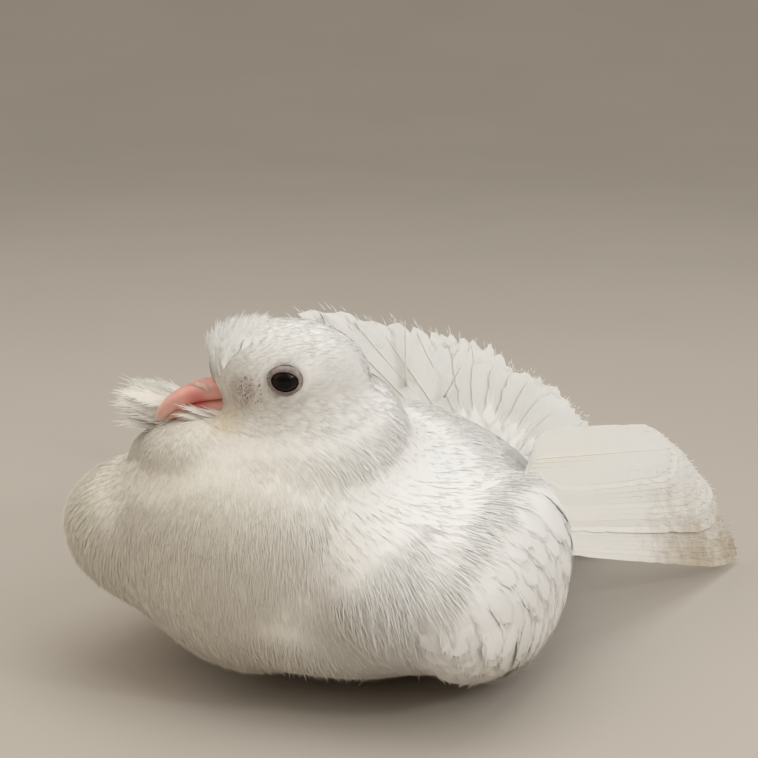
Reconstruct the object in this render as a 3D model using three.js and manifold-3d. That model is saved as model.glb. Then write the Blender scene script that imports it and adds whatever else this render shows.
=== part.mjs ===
// A white fantail pigeon at rest, life size, as a still museum model.
// Millimetres, +Z up. The bird faces -Y and its left side is +X. It sits on the floor at z = 0.
import * as THREE from 'three';
import { mergeVertices } from 'three/addons/utils/BufferGeometryUtils.js';
import Module from 'manifold-3d';

const wasm = await Module();
wasm.setup();

const rad = THREE.MathUtils.degToRad;
const mix = THREE.MathUtils.lerp;
const ease = THREE.MathUtils.smoothstep;
const vec = (x, y, z) => new THREE.Vector3(x, y, z);

// Driving dimensions of the bird
const GROWN = 0.34;              // how far a piece is grown before its neighbour is cut clear of it
const TRUNK_WIDTH = 112;         // across the fluffed body, without the wings
const TRUNK_HEIGHT = 63;         // floor to the top of the back
const BREAST_REACH = 65;         // body axis to the front of the breast
const BACK_REACH = 74;           // body axis to the end of the back
const WIDEST_LEVEL = 20;         // height at which the sitting body is widest
const HEAD_AT = vec(2.5, -33, 75);
const HEAD_YAW = 58;             // degrees the face is turned to the bird's right
const HEAD_WIDTH = 28;           // across the feathered cheeks
const EYE_RADIUS = 4.0;
const WING_OUT = 44;             // body axis to the middle of the folded arm
const WING_TIP_AT = vec(62, 108.5, 2.5);
const FAN_ROOT_AT = vec(-4, 84, 19);
const FAN_WHOLE = 79;            // a whole tail feather
const FAN_WORN = 38;             // a broken tail feather
const FAN_FEATHERS = 20;
const FAN_RIGHT = 72;            // degrees the fan opens from upright to each side
const FAN_LEFT = 78;
const VANE = 0.7;                // thickness of a vane at its shaft
const VANE_EDGE = 0.5;           // thickness at its sides
const TOE_RADIUS = 2.3;

const MATERIALS = {
  plumage: new THREE.MeshStandardMaterial({ color: 0xf2ede4, roughness: 0.85, metalness: 0 }),
  flight: new THREE.MeshStandardMaterial({ color: 0xf0eadb, roughness: 0.7, metalness: 0 }),
  bill: new THREE.MeshStandardMaterial({ color: 0xd98a7c, roughness: 0.45, metalness: 0 }),
  cere: new THREE.MeshStandardMaterial({ color: 0xc9a294, roughness: 0.7, metalness: 0 }),
  eye: new THREE.MeshStandardMaterial({ color: 0x1d0f0a, roughness: 0.05, metalness: 0 }),
  foot: new THREE.MeshStandardMaterial({ color: 0xb4554e, roughness: 0.6, metalness: 0 }),
};

const pigeon = new THREE.Group();
pigeon.name = 'fantail_pigeon';

// Solids: a three.js geometry becomes a manifold for joining and cutting, and comes back as a mesh
function solid(geometry) {
  const bare = new THREE.BufferGeometry();
  bare.setAttribute('position', geometry.getAttribute('position'));
  bare.setIndex(geometry.index);
  const welded = mergeVertices(bare, 1e-4);
  return new wasm.Manifold(new wasm.Mesh({
    numProp: 3,
    vertProperties: Float32Array.from(welded.getAttribute('position').array),
    triVerts: Uint32Array.from(welded.index.array),
  }));
}

const join = (pieces) => wasm.Manifold.union(pieces);

function largest(manifold) {
  const pieces = manifold.decompose();
  pieces.sort((a, b) => b.volume() - a.volume());
  return pieces[0];
}

function block(low, high) {
  const size = high.clone().sub(low);
  const geometry = new THREE.BoxGeometry(size.x, size.y, size.z);
  geometry.translate((low.x + high.x) / 2, (low.y + high.y) / 2, (low.z + high.z) / 2);
  return solid(geometry);
}

const underFloor = block(vec(-300, -300, -200), vec(300, 300, 0));

// A soft form: a ball with its own reach to each side, and swells that push the surface out
function formPoint({ at, reach, swells = [] }, unit, grow = 0) {
  const point = vec(
    unit.x * ((unit.x < 0 ? reach.right : reach.left) + grow),
    unit.y * ((unit.y < 0 ? reach.front : reach.back) + grow),
    unit.z * ((unit.z < 0 ? reach.down : reach.up) + grow),
  ).add(at);
  for (const swell of swells) {
    const near = Math.exp(-point.distanceToSquared(swell.at) / (swell.radius * swell.radius));
    point.addScaledVector(swell.push, near);
  }
  return point;
}

function lump(form, grow = 0) {
  const geometry = new THREE.SphereGeometry(1, form.around, form.along);
  const position = geometry.getAttribute('position');
  const unit = vec(0, 0, 0);
  for (let i = 0; i < position.count; i += 1) {
    const point = formPoint(form, unit.fromBufferAttribute(position, i), grow);
    position.setXYZ(i, point.x, point.y, point.z);
  }
  return solid(geometry);
}

// The spot on the outer side of a form at a given y and z, with its outward direction
function spotOn(form, side, y, z) {
  const { at, reach } = form;
  const unitAt = (dy, dz) => {
    const b = (y + dy - at.y) / (y < at.y ? reach.front : reach.back);
    const c = (z + dz - at.z) / (z < at.z ? reach.down : reach.up);
    return vec(side * Math.sqrt(Math.max(0.0004, 1 - b * b - c * c)), b, c);
  };
  const point = formPoint(form, unitAt(0, 0));
  const back = formPoint(form, unitAt(0.5, 0)).sub(formPoint(form, unitAt(-0.5, 0)));
  const rise = formPoint(form, unitAt(0, 0.5)).sub(formPoint(form, unitAt(0, -0.5)));
  const out = back.cross(rise).multiplyScalar(side).normalize();
  return { point, out };
}

// A round bar that follows a curve, with its own half width and half height along the way
function bar({ path, width, height = width, up = vec(0, 0, 1), around = 8, along = 5 }, grow = 0) {
  const curve = new THREE.CatmullRomCurve3(path);
  const geometry = new THREE.CylinderGeometry(1, 1, 1, around, along);
  const position = geometry.getAttribute('position');
  const point = vec(0, 0, 0);
  for (let i = 0; i < position.count; i += 1) {
    point.fromBufferAttribute(position, i);
    const t = THREE.MathUtils.clamp(point.y + 0.5, 0, 1);
    const forward = curve.getTangent(t);
    const side = forward.clone().cross(up).normalize();
    const top = side.clone().cross(forward).normalize();
    const end = t === 0 ? -grow : (t === 1 ? grow : 0);
    const place = curve.getPoint(t).addScaledVector(forward, end);
    place.addScaledVector(side, point.x * (width(t) + grow));
    place.addScaledVector(top, point.z * (height(t) + grow));
    position.setXYZ(i, place.x, place.y, place.z);
  }
  return solid(geometry);
}

// A feather vane: a thin leaf that runs from root to tip, with the same triangles on both faces.
// It is widest past the middle, rounds off at the tip, cups across and droops towards the tip.
function vane(feather, grow = 0) {
  const {
    root, toward, face, length, width, stem = 0.45, tip = 0.35, droop = 0, cup = 0, columns = 1, rows = 3,
  } = feather;
  const along = toward.clone().normalize();
  const out = face.clone().projectOnPlane(along).normalize();
  const across = along.clone().cross(out).normalize();
  const sheet = new THREE.PlaneGeometry(2, 1, columns, rows);
  const flat = sheet.getAttribute('position');
  const count = flat.count;
  const points = [];
  for (const layer of [1, -1]) {
    for (let i = 0; i < count; i += 1) {
      const u = flat.getX(i);
      const step = flat.getY(i) + 0.5;
      const t = 1 - (1 - step) ** 1.5;
      const swell = mix(stem, 1, ease(t, 0, 0.55)) * mix(1, tip, ease(t, 0.72, 1));
      const half = (width / 2) * swell + grow;
      const reach = length * t + (step === 0 ? -grow : 0) + (step === 1 ? grow : 0);
      const thick = mix(VANE, VANE_EDGE, Math.abs(u)) / 2 + grow;
      const fall = droop * t * t + cup * u * u * swell * swell;
      const point = root.clone().addScaledVector(along, reach).addScaledVector(across, u * half);
      point.addScaledVector(out, layer * thick - fall);
      points.push(point.x, point.y, point.z);
    }
  }
  const faces = [];
  const top = Array.from(sheet.index.array);
  for (let i = 0; i < top.length; i += 3) {
    faces.push(top[i], top[i + 1], top[i + 2]);
    faces.push(count + top[i], count + top[i + 2], count + top[i + 1]);
  }
  const rim = [];
  for (let c = 0; c <= columns; c += 1) rim.push(c);
  for (let r = 1; r <= rows; r += 1) rim.push(r * (columns + 1) + columns);
  for (let c = columns - 1; c >= 0; c -= 1) rim.push(rows * (columns + 1) + c);
  for (let r = rows - 1; r > 0; r -= 1) rim.push(r * (columns + 1));
  rim.forEach((a, i) => {
    const b = rim[(i + 1) % rim.length];
    faces.push(a, b, count + b, a, count + b, count + a);
  });
  const geometry = new THREE.BufferGeometry();
  geometry.setAttribute('position', new THREE.Float32BufferAttribute(points, 3));
  geometry.setIndex(faces);
  return solid(geometry);
}

// Seeded variation between -1 and 1
let draw = 7;
function vary() {
  draw += 1;
  return 2 * THREE.MathUtils.seededRandom(draw) - 1;
}

// A small feather that lies on a form: its root is sunk in and its tip lifts a little off
function laid(spot, flow, feather) {
  const lift = rad(feather.lift ?? 8);
  const toward = flow.clone().projectOnPlane(spot.out).normalize();
  toward.multiplyScalar(Math.cos(lift)).addScaledVector(spot.out, Math.sin(lift));
  const root = spot.point.clone().addScaledVector(spot.out, -(feather.sink ?? 1));
  const face = spot.out.clone().applyAxisAngle(toward, rad(feather.roll ?? 0));
  return { droop: feather.length * 0.06, ...feather, root, toward, face };
}

// A form with feathers on it, fused into one closed piece
const feathered = (form, feathers) => (grow) => join([
  lump(form, grow),
  ...feathers.map((feather) => vane(feather, grow)),
]);

const sides = [['left', 1], ['right', -1]];
const mirrored = (point, side) => vec(point.x * side, point.y, point.z);

// Trunk: breast, belly and back in one fluffed mound that sits flat on the floor
const TRUNK = {
  at: vec(0, 4, WIDEST_LEVEL),
  reach: {
    left: TRUNK_WIDTH / 2,
    right: TRUNK_WIDTH / 2,
    front: BREAST_REACH + 4,
    back: BACK_REACH - 4,
    up: TRUNK_HEIGHT - WIDEST_LEVEL,
    down: 22.5,
  },
  swells: [
    { at: vec(-6, -52, 44), radius: 26, push: vec(-1, -6, 8) },
    { at: vec(24, 42, 50), radius: 22, push: vec(0, 0, -4) },
    { at: vec(-24, 42, 50), radius: 22, push: vec(0, 0, -4) },
    { at: vec(46, 42, 18), radius: 30, push: vec(-8, -2, 0) },
    { at: vec(-46, 42, 18), radius: 30, push: vec(8, -2, 0) },
    { at: vec(-4, -62, 4), radius: 30, push: vec(1, 4, 1) },
  ],
  around: 26,
  along: 16,
};

// Neck: drawn in, a soft collar between head and breast, with a ruff of loose feathers behind the bill
const COLLAR = {
  at: vec(-1, -30, 50),
  reach: { left: 31, right: 33, front: 29, back: 32, up: 19, down: 24 },
  swells: [
    { at: vec(14, -20, 68), radius: 18, push: vec(3, 4, 10) },
    { at: vec(-30, -44, 56), radius: 14, push: vec(-6, -2, 2) },
  ],
  around: 22,
  along: 14,
};

function ruff() {
  const feathers = [];
  for (let i = 0; i < 7; i += 1) {
    const root = vec(-19 - 1.6 * i, -41 + 3.4 * i, 61.5 - 0.7 * i);
    feathers.push({
      root,
      toward: vec(-0.86, -0.42 + 0.1 * vary(), 0.34 + 0.14 * vary()),
      face: vec(-0.1, -0.5, 1),
      length: 15 + 2 * vary(),
      width: 5,
      tip: 0.3,
      droop: 2,
    });
  }
  return feathers;
}

// Head: built looking along -Y at the origin, then set on the neck and turned
const headPose = new THREE.Matrix4().makeRotationZ(-rad(HEAD_YAW)).setPosition(HEAD_AT);
const onHead = (make) => (grow) => make(grow).transform(headPose.elements);

const SKULL = {
  at: vec(0, 0, 0),
  reach: { left: HEAD_WIDTH / 2, right: HEAD_WIDTH / 2, front: 17.8, back: 20, up: 13.8, down: 15 },
  swells: [
    { at: vec(0, -17, 10), radius: 9, push: vec(0, -2, 1.5) },
    { at: vec(0, -20, -10), radius: 9, push: vec(0, 2, 2) },
  ],
  around: 22,
  along: 15,
};
const EYE_AT = vec(11.7, 0.3, 0.8);
const LID_WIDTH = 4.1;
const LID_HEIGHT = 3.2;

function lids(side) {
  const ring = new THREE.TorusGeometry(1, 0.23, 5, 14);
  ring.scale(LID_HEIGHT, LID_WIDTH, 3.4);
  ring.rotateZ(rad(8));
  ring.rotateY(rad(90));
  ring.translate((EYE_AT.x + 2.2) * side, EYE_AT.y, EYE_AT.z);
  return solid(ring);
}

function crest() {
  const tufts = [];
  for (let row = 0; row < 3; row += 1) {
    for (let column = -1; column <= 1; column += 1) {
      const slope = rad(mix(8, 58, row / 2) + 4 * vary());
      const out = vec(0.3 * column, -Math.cos(slope), Math.sin(slope));
      const lie = vec(0.2 * column + 0.08 * vary(), Math.sin(slope), Math.cos(slope));
      tufts.push({
        root: vec(3.9 * column, -16.8 * Math.cos(slope), 12.4 * Math.sin(slope)),
        toward: lie.addScaledVector(out, 0.28 - 0.13 * row),
        face: out,
        length: 6.6 + 0.7 * vary(),
        width: 4.4,
        tip: 0.35,
        droop: -0.5,
        rows: 2,
      });
    }
  }
  return tufts;
}

function skull(grow, tufts) {
  const shape = join([
    lump(SKULL, grow),
    lids(1),
    lids(-1),
    ...tufts.map((tuft) => vane(tuft, grow)),
  ]);
  const gape = block(vec(-5, -19, -5.7), vec(5, -11.6, -5.2));
  return grow > 0 ? shape : shape.subtract(gape);
}

function eyeball(side, grow) {
  const ball = new THREE.SphereGeometry(EYE_RADIUS + grow, 14, 10);
  ball.scale(0.84, 1, 1);
  ball.translate(EYE_AT.x * side, EYE_AT.y, EYE_AT.z);
  return solid(ball);
}

const UPPER_BILL = {
  path: [vec(0, -13, -2.7), vec(0, -19.2, -3.9), vec(0, -25, -6.6), vec(0, -28, -9.6)],
  width: (t) => mix(4.2, 0.5, t ** 1.3),
  height: (t) => mix(2.5, 0.5, t ** 1.4),
  around: 10,
  along: 6,
};

const LOWER_BILL = {
  path: [vec(0, -12, -6.8), vec(0, -19, -7.2), vec(0, -23.8, -8.6), vec(0, -26.6, -10.2)],
  width: (t) => mix(3.9, 0.5, t ** 1.3),
  height: (t) => mix(1.9, 0.45, t ** 1.4),
  around: 10,
  along: 5,
};

const CERE = {
  at: vec(0, -17.6, -2.5),
  reach: { left: 4.4, right: 4.4, front: 4.6, back: 3.4, up: 2.4, down: 3 },
  around: 12,
  along: 8,
};

function cere(grow) {
  const nostril = (side) => lump({
    at: vec(3.9 * side, -19.4, -2.2),
    reach: { left: 1, right: 1, front: 1.7, back: 1.7, up: 0.4, down: 0.4 },
    around: 8,
    along: 6,
  });
  const shape = lump(CERE, grow);
  return grow > 0 ? shape : shape.subtract(nostril(1)).subtract(nostril(-1));
}

// Wing: the arm with its coverts lies on the flank, the flight feathers run back from it
const arm = (side) => ({
  at: vec(WING_OUT * side, -6, 28),
  reach: { left: 15, right: 15, front: 42, back: 30, up: 25, down: 17 },
  swells: [{ at: vec(60 * side, -36, 30), radius: 24, push: vec(5 * side, -4, 0) }],
  around: 18,
  along: 12,
});

const COVERT_ROWS = [
  { count: 4, top: [-32, 41], low: [-38, 23], length: 16, width: 14 },
  { count: 5, top: [-20, 43], low: [-29, 19], length: 18, width: 15 },
  { count: 5, top: [-7, 42], low: [-16, 16], length: 20, width: 16 },
];

function coverts(side) {
  const form = arm(side);
  const feathers = [];
  for (const row of COVERT_ROWS) {
    for (let i = 0; i < row.count; i += 1) {
      const f = i / (row.count - 1);
      const spot = spotOn(form, side, mix(row.top[0], row.low[0], f), mix(row.top[1], row.low[1], f));
      feathers.push(laid(spot, vec(0, mix(0.9, 0.55, f), -0.62 + 0.06 * vary()), {
        length: row.length * (1 + 0.07 * vary()),
        width: row.width,
        lift: 4,
        roll: -4 * side,
        droop: 2.5,
        tip: 0.45,
        rows: 2,
      }));
    }
  }
  return feathers;
}

// Flight feathers in one fan from the tertials at the top edge to the outer primaries at the floor
const FLIGHT = 14;
const SECONDARIES_END = 9;

function flightFeather(side, i) {
  const f = i / (FLIGHT - 1);
  const late = ease(i, SECONDARIES_END - 1, FLIGHT - 1);
  const root = vec(44 + 12 * Math.sin(Math.PI / 2 * Math.min(1, f * 1.6)), mix(16, 0, f), mix(45.5, 34, f));
  const tip = vec(
    mix(56.5, WING_TIP_AT.x, f ** 0.7),
    mix(68, 102, Math.sin(Math.PI / 2 * Math.min(1, f * 1.5))) + (WING_TIP_AT.y - 102) * late,
    mix(43.5, WING_TIP_AT.z, f ** 0.85),
  );
  tip.y += 1.2 * vary();
  const toward = tip.clone().sub(root);
  const tilt = rad(13);
  const face = vec(Math.cos(tilt), 0, Math.sin(tilt));
  return {
    root: mirrored(root, side),
    toward: mirrored(toward, side),
    face: mirrored(face, side),
    length: toward.length(),
    width: i < SECONDARIES_END ? 15 : mix(14, 11, late),
    stem: 0.4,
    tip: i < SECONDARIES_END ? 0.5 : 0.35,
    droop: -1.5,
    rows: 3,
  };
}

function flightFeathers(side, from, to) {
  const feathers = [];
  for (let i = from; i < to; i += 1) {
    feathers.push(flightFeather(side, i));
  }
  return feathers;
}

const flightBed = (side, y, z, half) => ({
  at: vec(53.5 * side, y, z),
  reach: { left: 1.2, right: 1.2, front: 7, back: 7, up: half, down: half },
  around: 10,
  along: 6,
});

// Scapulars lie over the seam of wing and back, and flank feathers hang to the floor below the wing
function scapulars(side) {
  const feathers = [];
  for (let i = 0; i < 6; i += 1) {
    const spot = spotOn(TRUNK, side, -12 + 8.5 * i, 51 - 1.6 * (i % 2) - 0.8 * i);
    feathers.push(laid(spot, vec(0.45 * side, 0.9, -0.35 + 0.06 * vary()), {
      length: 24 + 2 * vary(),
      width: 14,
      lift: 6,
      tip: 0.5,
      droop: 3,
      rows: 2,
    }));
  }
  return feathers;
}

function flankFeathers(side) {
  const feathers = [];
  for (let i = 0; i < 8; i += 1) {
    const spot = spotOn(TRUNK, side, -24 + 6.6 * i, 13 + 1.2 * vary());
    feathers.push(laid(spot, vec(0.1 * side, 0.25 + 0.05 * i, -1), {
      length: 12.5 + 1.5 * vary(),
      width: 10,
      lift: 7,
      tip: 0.4,
      droop: 1,
      rows: 2,
    }));
  }
  return feathers;
}

// Tail: coverts above and below its root, and the raised fan, worn short on the left
const RUMP = {
  at: vec(-2, 70, 24),
  reach: { left: 26, right: 26, front: 12, back: 11.5, up: 14, down: 19 },
  around: 16,
  along: 10,
};

function upperTailCoverts() {
  const feathers = [];
  for (let i = 0; i < 9; i += 1) {
    const angle = rad(mix(-70, 62, i / 8));
    const out = vec(Math.sin(angle), 0.1, Math.cos(angle));
    feathers.push({
      root: vec(-3, 79, 20).addScaledVector(out, 6),
      toward: out.clone().add(vec(0, -0.08 + 0.04 * vary(), 0)),
      face: vec(0, -1, 0.1),
      length: mix(20, 15, (i % 2)) + 1.5 * vary(),
      width: 9,
      tip: 0.4,
      droop: -0.8,
      rows: 2,
    });
  }
  return feathers;
}

const VENT = {
  at: vec(-4, 91, 11),
  reach: { left: 21, right: 21, front: 5, back: 8, up: 13, down: 14 },
  around: 14,
  along: 8,
};

function underTailCoverts() {
  const feathers = [];
  for (let i = 0; i < 9; i += 1) {
    const angle = rad(mix(-75, 70, i / 8));
    const out = vec(Math.sin(angle), 0.24, Math.cos(angle));
    feathers.push({
      root: vec(-4, 91.5, 13).addScaledVector(out, 5),
      toward: out,
      face: vec(0, 1, 0.1),
      length: 22 + 2 * vary(),
      width: 10,
      tip: 0.4,
      droop: -0.5,
      rows: 2,
    });
  }
  return feathers;
}

function fanFeathers(from, to) {
  const feathers = [];
  for (let i = from; i < to; i += 1) {
    const angle = rad(mix(-FAN_RIGHT, FAN_LEFT, i / (FAN_FEATHERS - 1)));
    const out = vec(Math.sin(angle), 0.05 * Math.cos(angle), Math.cos(angle));
    const whole = THREE.MathUtils.clamp((-angle - rad(2)) / rad(60), 0, 1) ** 1.3;
    const length = mix(FAN_WORN, FAN_WHOLE, whole) + 2.2 * vary();
    const tilt = rad(10);
    feathers.push({
      root: FAN_ROOT_AT.clone().addScaledVector(out, 3),
      toward: out,
      face: vec(Math.cos(angle) * Math.sin(tilt), -Math.cos(tilt), -Math.sin(angle) * Math.sin(tilt)),
      length: length - 3,
      width: mix(14, 17, whole),
      stem: 0.3,
      tip: mix(0.75, 0.45, whole),
      droop: -3 * whole,
      rows: 4,
    });
  }
  return feathers;
}

const fanBed = (shift) => ({
  at: FAN_ROOT_AT.clone().add(vec(shift, 0, 3)),
  reach: { left: 8, right: 8, front: 2, back: 2, up: 10, down: 10 },
  around: 10,
  along: 6,
});

// Feet: folded under the belly, toes flat on the floor
function foot(side, grow) {
  const ankle = vec(17 * side, 6, 4.5);
  const pieces = [bar({
    path: [vec(19 * side, 30, 13), vec(18 * side, 18, 8), ankle],
    width: () => 2.6,
    around: 7,
    along: 2,
  }, grow)];
  const toes = [[-28, 25], [0, 32], [26, 25], [180, 16]];
  for (const [turn, length] of toes) {
    const ahead = vec(Math.sin(rad(turn)) * side, -Math.cos(rad(turn)), 0);
    pieces.push(bar({
      path: [
        ankle.clone(),
        ankle.clone().addScaledVector(ahead, length * 0.5).setZ(2.2),
        ankle.clone().addScaledVector(ahead, length).setZ(1.2),
      ],
      width: (t) => mix(TOE_RADIUS + 0.3, 1.1, t),
      around: 7,
      along: 2,
    }, grow));
  }
  return join(pieces);
}

// Each node is cut clear of the grown shapes of the nodes placed before it
const placed = [];

function meet(a, b) {
  const p = a.boundingBox();
  const q = b.boundingBox();
  return [0, 1, 2].every((k) => p.min[k] < q.max[k] && q.min[k] < p.max[k]);
}

function addNode(name, manifold, material) {
  const mesh = largest(manifold.simplify(0.08)).getMesh();
  const geometry = new THREE.BufferGeometry();
  geometry.setAttribute('position', new THREE.BufferAttribute(Float32Array.from(mesh.vertProperties), 3));
  geometry.setIndex(Array.from(mesh.triVerts));
  geometry.computeVertexNormals();
  const node = new THREE.Mesh(geometry, material.clone());
  node.name = name;
  pigeon.add(node);
}

function place(name, make, material) {
  let shape = make(0).subtract(underFloor);
  for (const other of placed) {
    if (meet(shape, other)) {
      shape = shape.subtract(other);
    }
  }
  placed.push(make(GROWN));
  addNode(name, shape, material);
}

for (const [name, side] of sides) {
  place(`foot_${name}`, (grow) => foot(side, grow), MATERIALS.foot);
}
const bodyFeathers = sides.flatMap(([, side]) => [...scapulars(side), ...flankFeathers(side)]);
place('torso', feathered(TRUNK, bodyFeathers), MATERIALS.plumage);
for (const [name, side] of sides) {
  place(`eye_${name}`, onHead((grow) => eyeball(side, grow)), MATERIALS.eye);
}
place('bill_upper', onHead((grow) => bar(UPPER_BILL, grow)), MATERIALS.bill);
place('bill_lower', onHead((grow) => bar(LOWER_BILL, grow)), MATERIALS.bill);
place('cere', onHead(cere), MATERIALS.cere);
place('neck', feathered(COLLAR, ruff()), MATERIALS.plumage);
const tufts = crest();
place('head', onHead((grow) => skull(grow, tufts)), MATERIALS.plumage);
place('tail_coverts_upper', feathered(RUMP, upperTailCoverts()), MATERIALS.plumage);
for (const [name, side] of sides) {
  place(`wing_${name}_coverts`, feathered(arm(side), coverts(side)), MATERIALS.plumage);
  const upper = flightFeathers(side, 0, SECONDARIES_END);
  place(`wing_${name}_secondaries`, feathered(flightBed(side, 13, 40, 5), upper), MATERIALS.flight);
  const lower = flightFeathers(side, SECONDARIES_END, FLIGHT);
  place(`wing_${name}_primaries`, feathered(flightBed(side, 13, 34, 3), lower), MATERIALS.flight);
}
const fanMiddle = Math.round(FAN_FEATHERS * 0.54);
place('tail_fan_right', feathered(fanBed(-5), fanFeathers(0, fanMiddle)), MATERIALS.flight);
place('tail_fan_left', feathered(fanBed(5), fanFeathers(fanMiddle, FAN_FEATHERS)), MATERIALS.flight);
place('tail_coverts_under', feathered(VENT, underTailCoverts()), MATERIALS.plumage);

export default pigeon;
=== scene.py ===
"""A white fantail pigeon at rest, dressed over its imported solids: skin, plumage, bill, eyes and feet."""
import math

import bpy
import numpy as np
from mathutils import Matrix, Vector
from mathutils.bvhtree import BVHTree


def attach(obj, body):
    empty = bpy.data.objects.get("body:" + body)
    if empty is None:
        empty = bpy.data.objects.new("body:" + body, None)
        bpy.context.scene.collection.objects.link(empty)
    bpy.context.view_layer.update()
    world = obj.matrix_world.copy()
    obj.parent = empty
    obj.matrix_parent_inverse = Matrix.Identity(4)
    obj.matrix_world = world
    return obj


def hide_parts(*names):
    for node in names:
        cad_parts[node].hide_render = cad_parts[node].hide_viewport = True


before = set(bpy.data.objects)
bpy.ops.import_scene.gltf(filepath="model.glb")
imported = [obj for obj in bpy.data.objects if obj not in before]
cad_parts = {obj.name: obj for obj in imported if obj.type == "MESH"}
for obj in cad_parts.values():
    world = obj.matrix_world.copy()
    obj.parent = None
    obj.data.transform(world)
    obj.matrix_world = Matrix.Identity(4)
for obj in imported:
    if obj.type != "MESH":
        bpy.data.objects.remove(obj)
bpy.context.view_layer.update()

bl_info = {
    "name": "Fantail Pigeon",
    "version": (1, 0, 0),
    "blender": (4, 5, 0),
    "location": "View3D > Sidebar > Pigeon",
    "description": "Skin, plumage, bill, eyes and feet of a resting white fantail pigeon",
    "category": "Add Mesh",
}

MM = 0.001
UP = np.array((0.0, 0.0, 1.0))
SIDES = (("left", 1), ("right", -1))
FLESH_NODES = (
    "torso", "neck", "head", "wing_left_coverts", "wing_right_coverts",
    "tail_coverts_upper", "tail_coverts_under",
)

# Named values, in millimetres where they are sizes
FACE_GAP = 0.012  # between the two faces of a feather that has both
BAKE_PATCH = 0.003  # width of a small feather's patch on the bake map, which runs from 0 to 1
FEATHER_FLOOR = 0.25  # no feather reaches lower
SKIN_FLOOR = 0.3
DEEPEST_FILL = 2.6  # of a crease, in each of its rounds
NECK_REACH = 40  # from the middle of the head
BACK_FROM_Y = 22
FLANK_FROM_X = 40


def form(at, left, right, front, back, up, down, *swells):
    """A ball with its own reach to each side, and swells pushed out of it: place, radius and push.

    All in millimetres. Left is the bird's own left, +X, and it faces -Y."""
    return {
        "at": np.array(at, float), "low": np.array((right, front, down), float),
        "high": np.array((left, back, up), float), "swells": swells,
    }


TRUNK = form(
    (0, 4, 20), 56, 56, 65.5, 70, 43, 22.5,
    ((-6, -52, 44), 26, (-1, -6, 8)), ((24, 42, 50), 22, (0, 0, -4)), ((-24, 42, 50), 22, (0, 0, -4)),
    ((46, 42, 18), 30, (-8, -2, 0)), ((-46, 42, 18), 30, (8, -2, 0)), ((-4, -62, 4), 30, (1, 4, 1)),
)
COLLAR = form(
    (-1, -30, 50), 31, 33, 29, 32, 19, 24, ((14, -20, 68), 18, (3, 4, 10)), ((-30, -44, 56), 14, (-6, -2, 2)),
)
SKULL = form(
    (0, 0, 0), 14, 14, 17.8, 20, 13.8, 15, ((0, -17, 10), 9, (0, -2, 1.5)), ((0, -20, -10), 9, (0, 2, 2)),
)
RUMP = form((-2, 70, 24), 26, 26, 12, 11.5, 14, 19)
VENT = form((-4, 91, 11), 21, 21, 5, 8, 13, 14)
THROAT = form((-3, -38, 40), 35, 36, 27.5, 30, 26, 36)
CHIN = form((-11, -43, 56), 15, 20, 16, 15, 12.5, 22)
# The right shoulder, raised by the turn of the head
SHOULDER = form((-30, -30, 36), 30, 30, 29, 34, 19, 24)


def mantle_form(side):
    """The flesh and down that join shoulder, back and breast."""
    return form((31 * side, -13, 31), 27, 27, 44, 42, 22.5, 23)


def arm_form(side):
    """The folded wing's arm: the left one hangs over the flank, the right one is drawn up."""
    down, push = (26, 5) if side > 0 else (15, -2)
    return form((44 * side, -6, 28), 15, 15, 42, 30, 25, down, ((60 * side, -36, 30), 24, (push, -4, 0)))


# Head: its parts are placed looking along -Y at the origin, then set on the neck and turned
HEAD_AT = np.array((2.5, -33.0, 75.0))
HEAD_YAW = math.radians(-58)
HEAD_TURN = np.array((
    (math.cos(HEAD_YAW), -math.sin(HEAD_YAW), 0.0),
    (math.sin(HEAD_YAW), math.cos(HEAD_YAW), 0.0),
    (0.0, 0.0, 1.0),
))
EYE_AT = np.array((11.7, 0.3, 1.2))
EYE_REACH = np.array((3.36, 3.6, 3.35))
LID_TILT = math.radians(8)
BILL_BASE = np.array((0.0, -17.5, -4.5))
LORE_AT = np.array((10.6, -9.4, -2.0))


def from_head(points):
    """Points of the head's own frame, in millimetres, as points of the part."""
    return np.asarray(points) @ HEAD_TURN.T + HEAD_AT


def to_head(points):
    """Points of the part, in millimetres, in the head's own frame."""
    return (np.asarray(points) - HEAD_AT) @ HEAD_TURN


def ease(value, low, high):
    """A smooth step from 0 at low to 1 at high."""
    t = np.clip((np.asarray(value, float) - low) / (high - low), 0.0, 1.0)
    return t * t * (3 - 2 * t)


def unit(vectors):
    """Vectors at length one."""
    return vectors / np.maximum(np.linalg.norm(vectors, axis=-1, keepdims=True), 1e-9)


def flat_to(vectors, normals):
    """Vectors turned into the plane across their normals, at length one."""
    return unit(vectors - normals * np.sum(vectors * normals, axis=-1, keepdims=True))


def stir(points, size, seed):
    """Smooth seeded variation of about -1 to 1 in three channels, over lengths of about size."""
    rng = np.random.default_rng(seed)
    total = np.zeros(points.shape)
    for _ in range(6):
        wave = rng.normal(size=(3, 3)) * (2.2 / size)
        total += np.sin(points @ wave + rng.uniform(0, 2 * math.pi, 3))
    return total / 2.6


def length_of(name, text, size, least=0.0):
    return bpy.props.FloatProperty(name=name, description=text, default=size, min=least, unit="LENGTH")


def angle_of(name, text, degrees):
    return bpy.props.FloatProperty(
        name=name, description=text, default=math.radians(degrees), subtype="ANGLE", unit="ROTATION")


def count_of(name, text, many, least):
    return bpy.props.IntProperty(name=name, description=text, default=many, min=least)


def colour_of(name, text, colour):
    return bpy.props.FloatVectorProperty(
        name=name, description=text, subtype="COLOR", size=3, min=0, max=1, default=colour)


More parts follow.
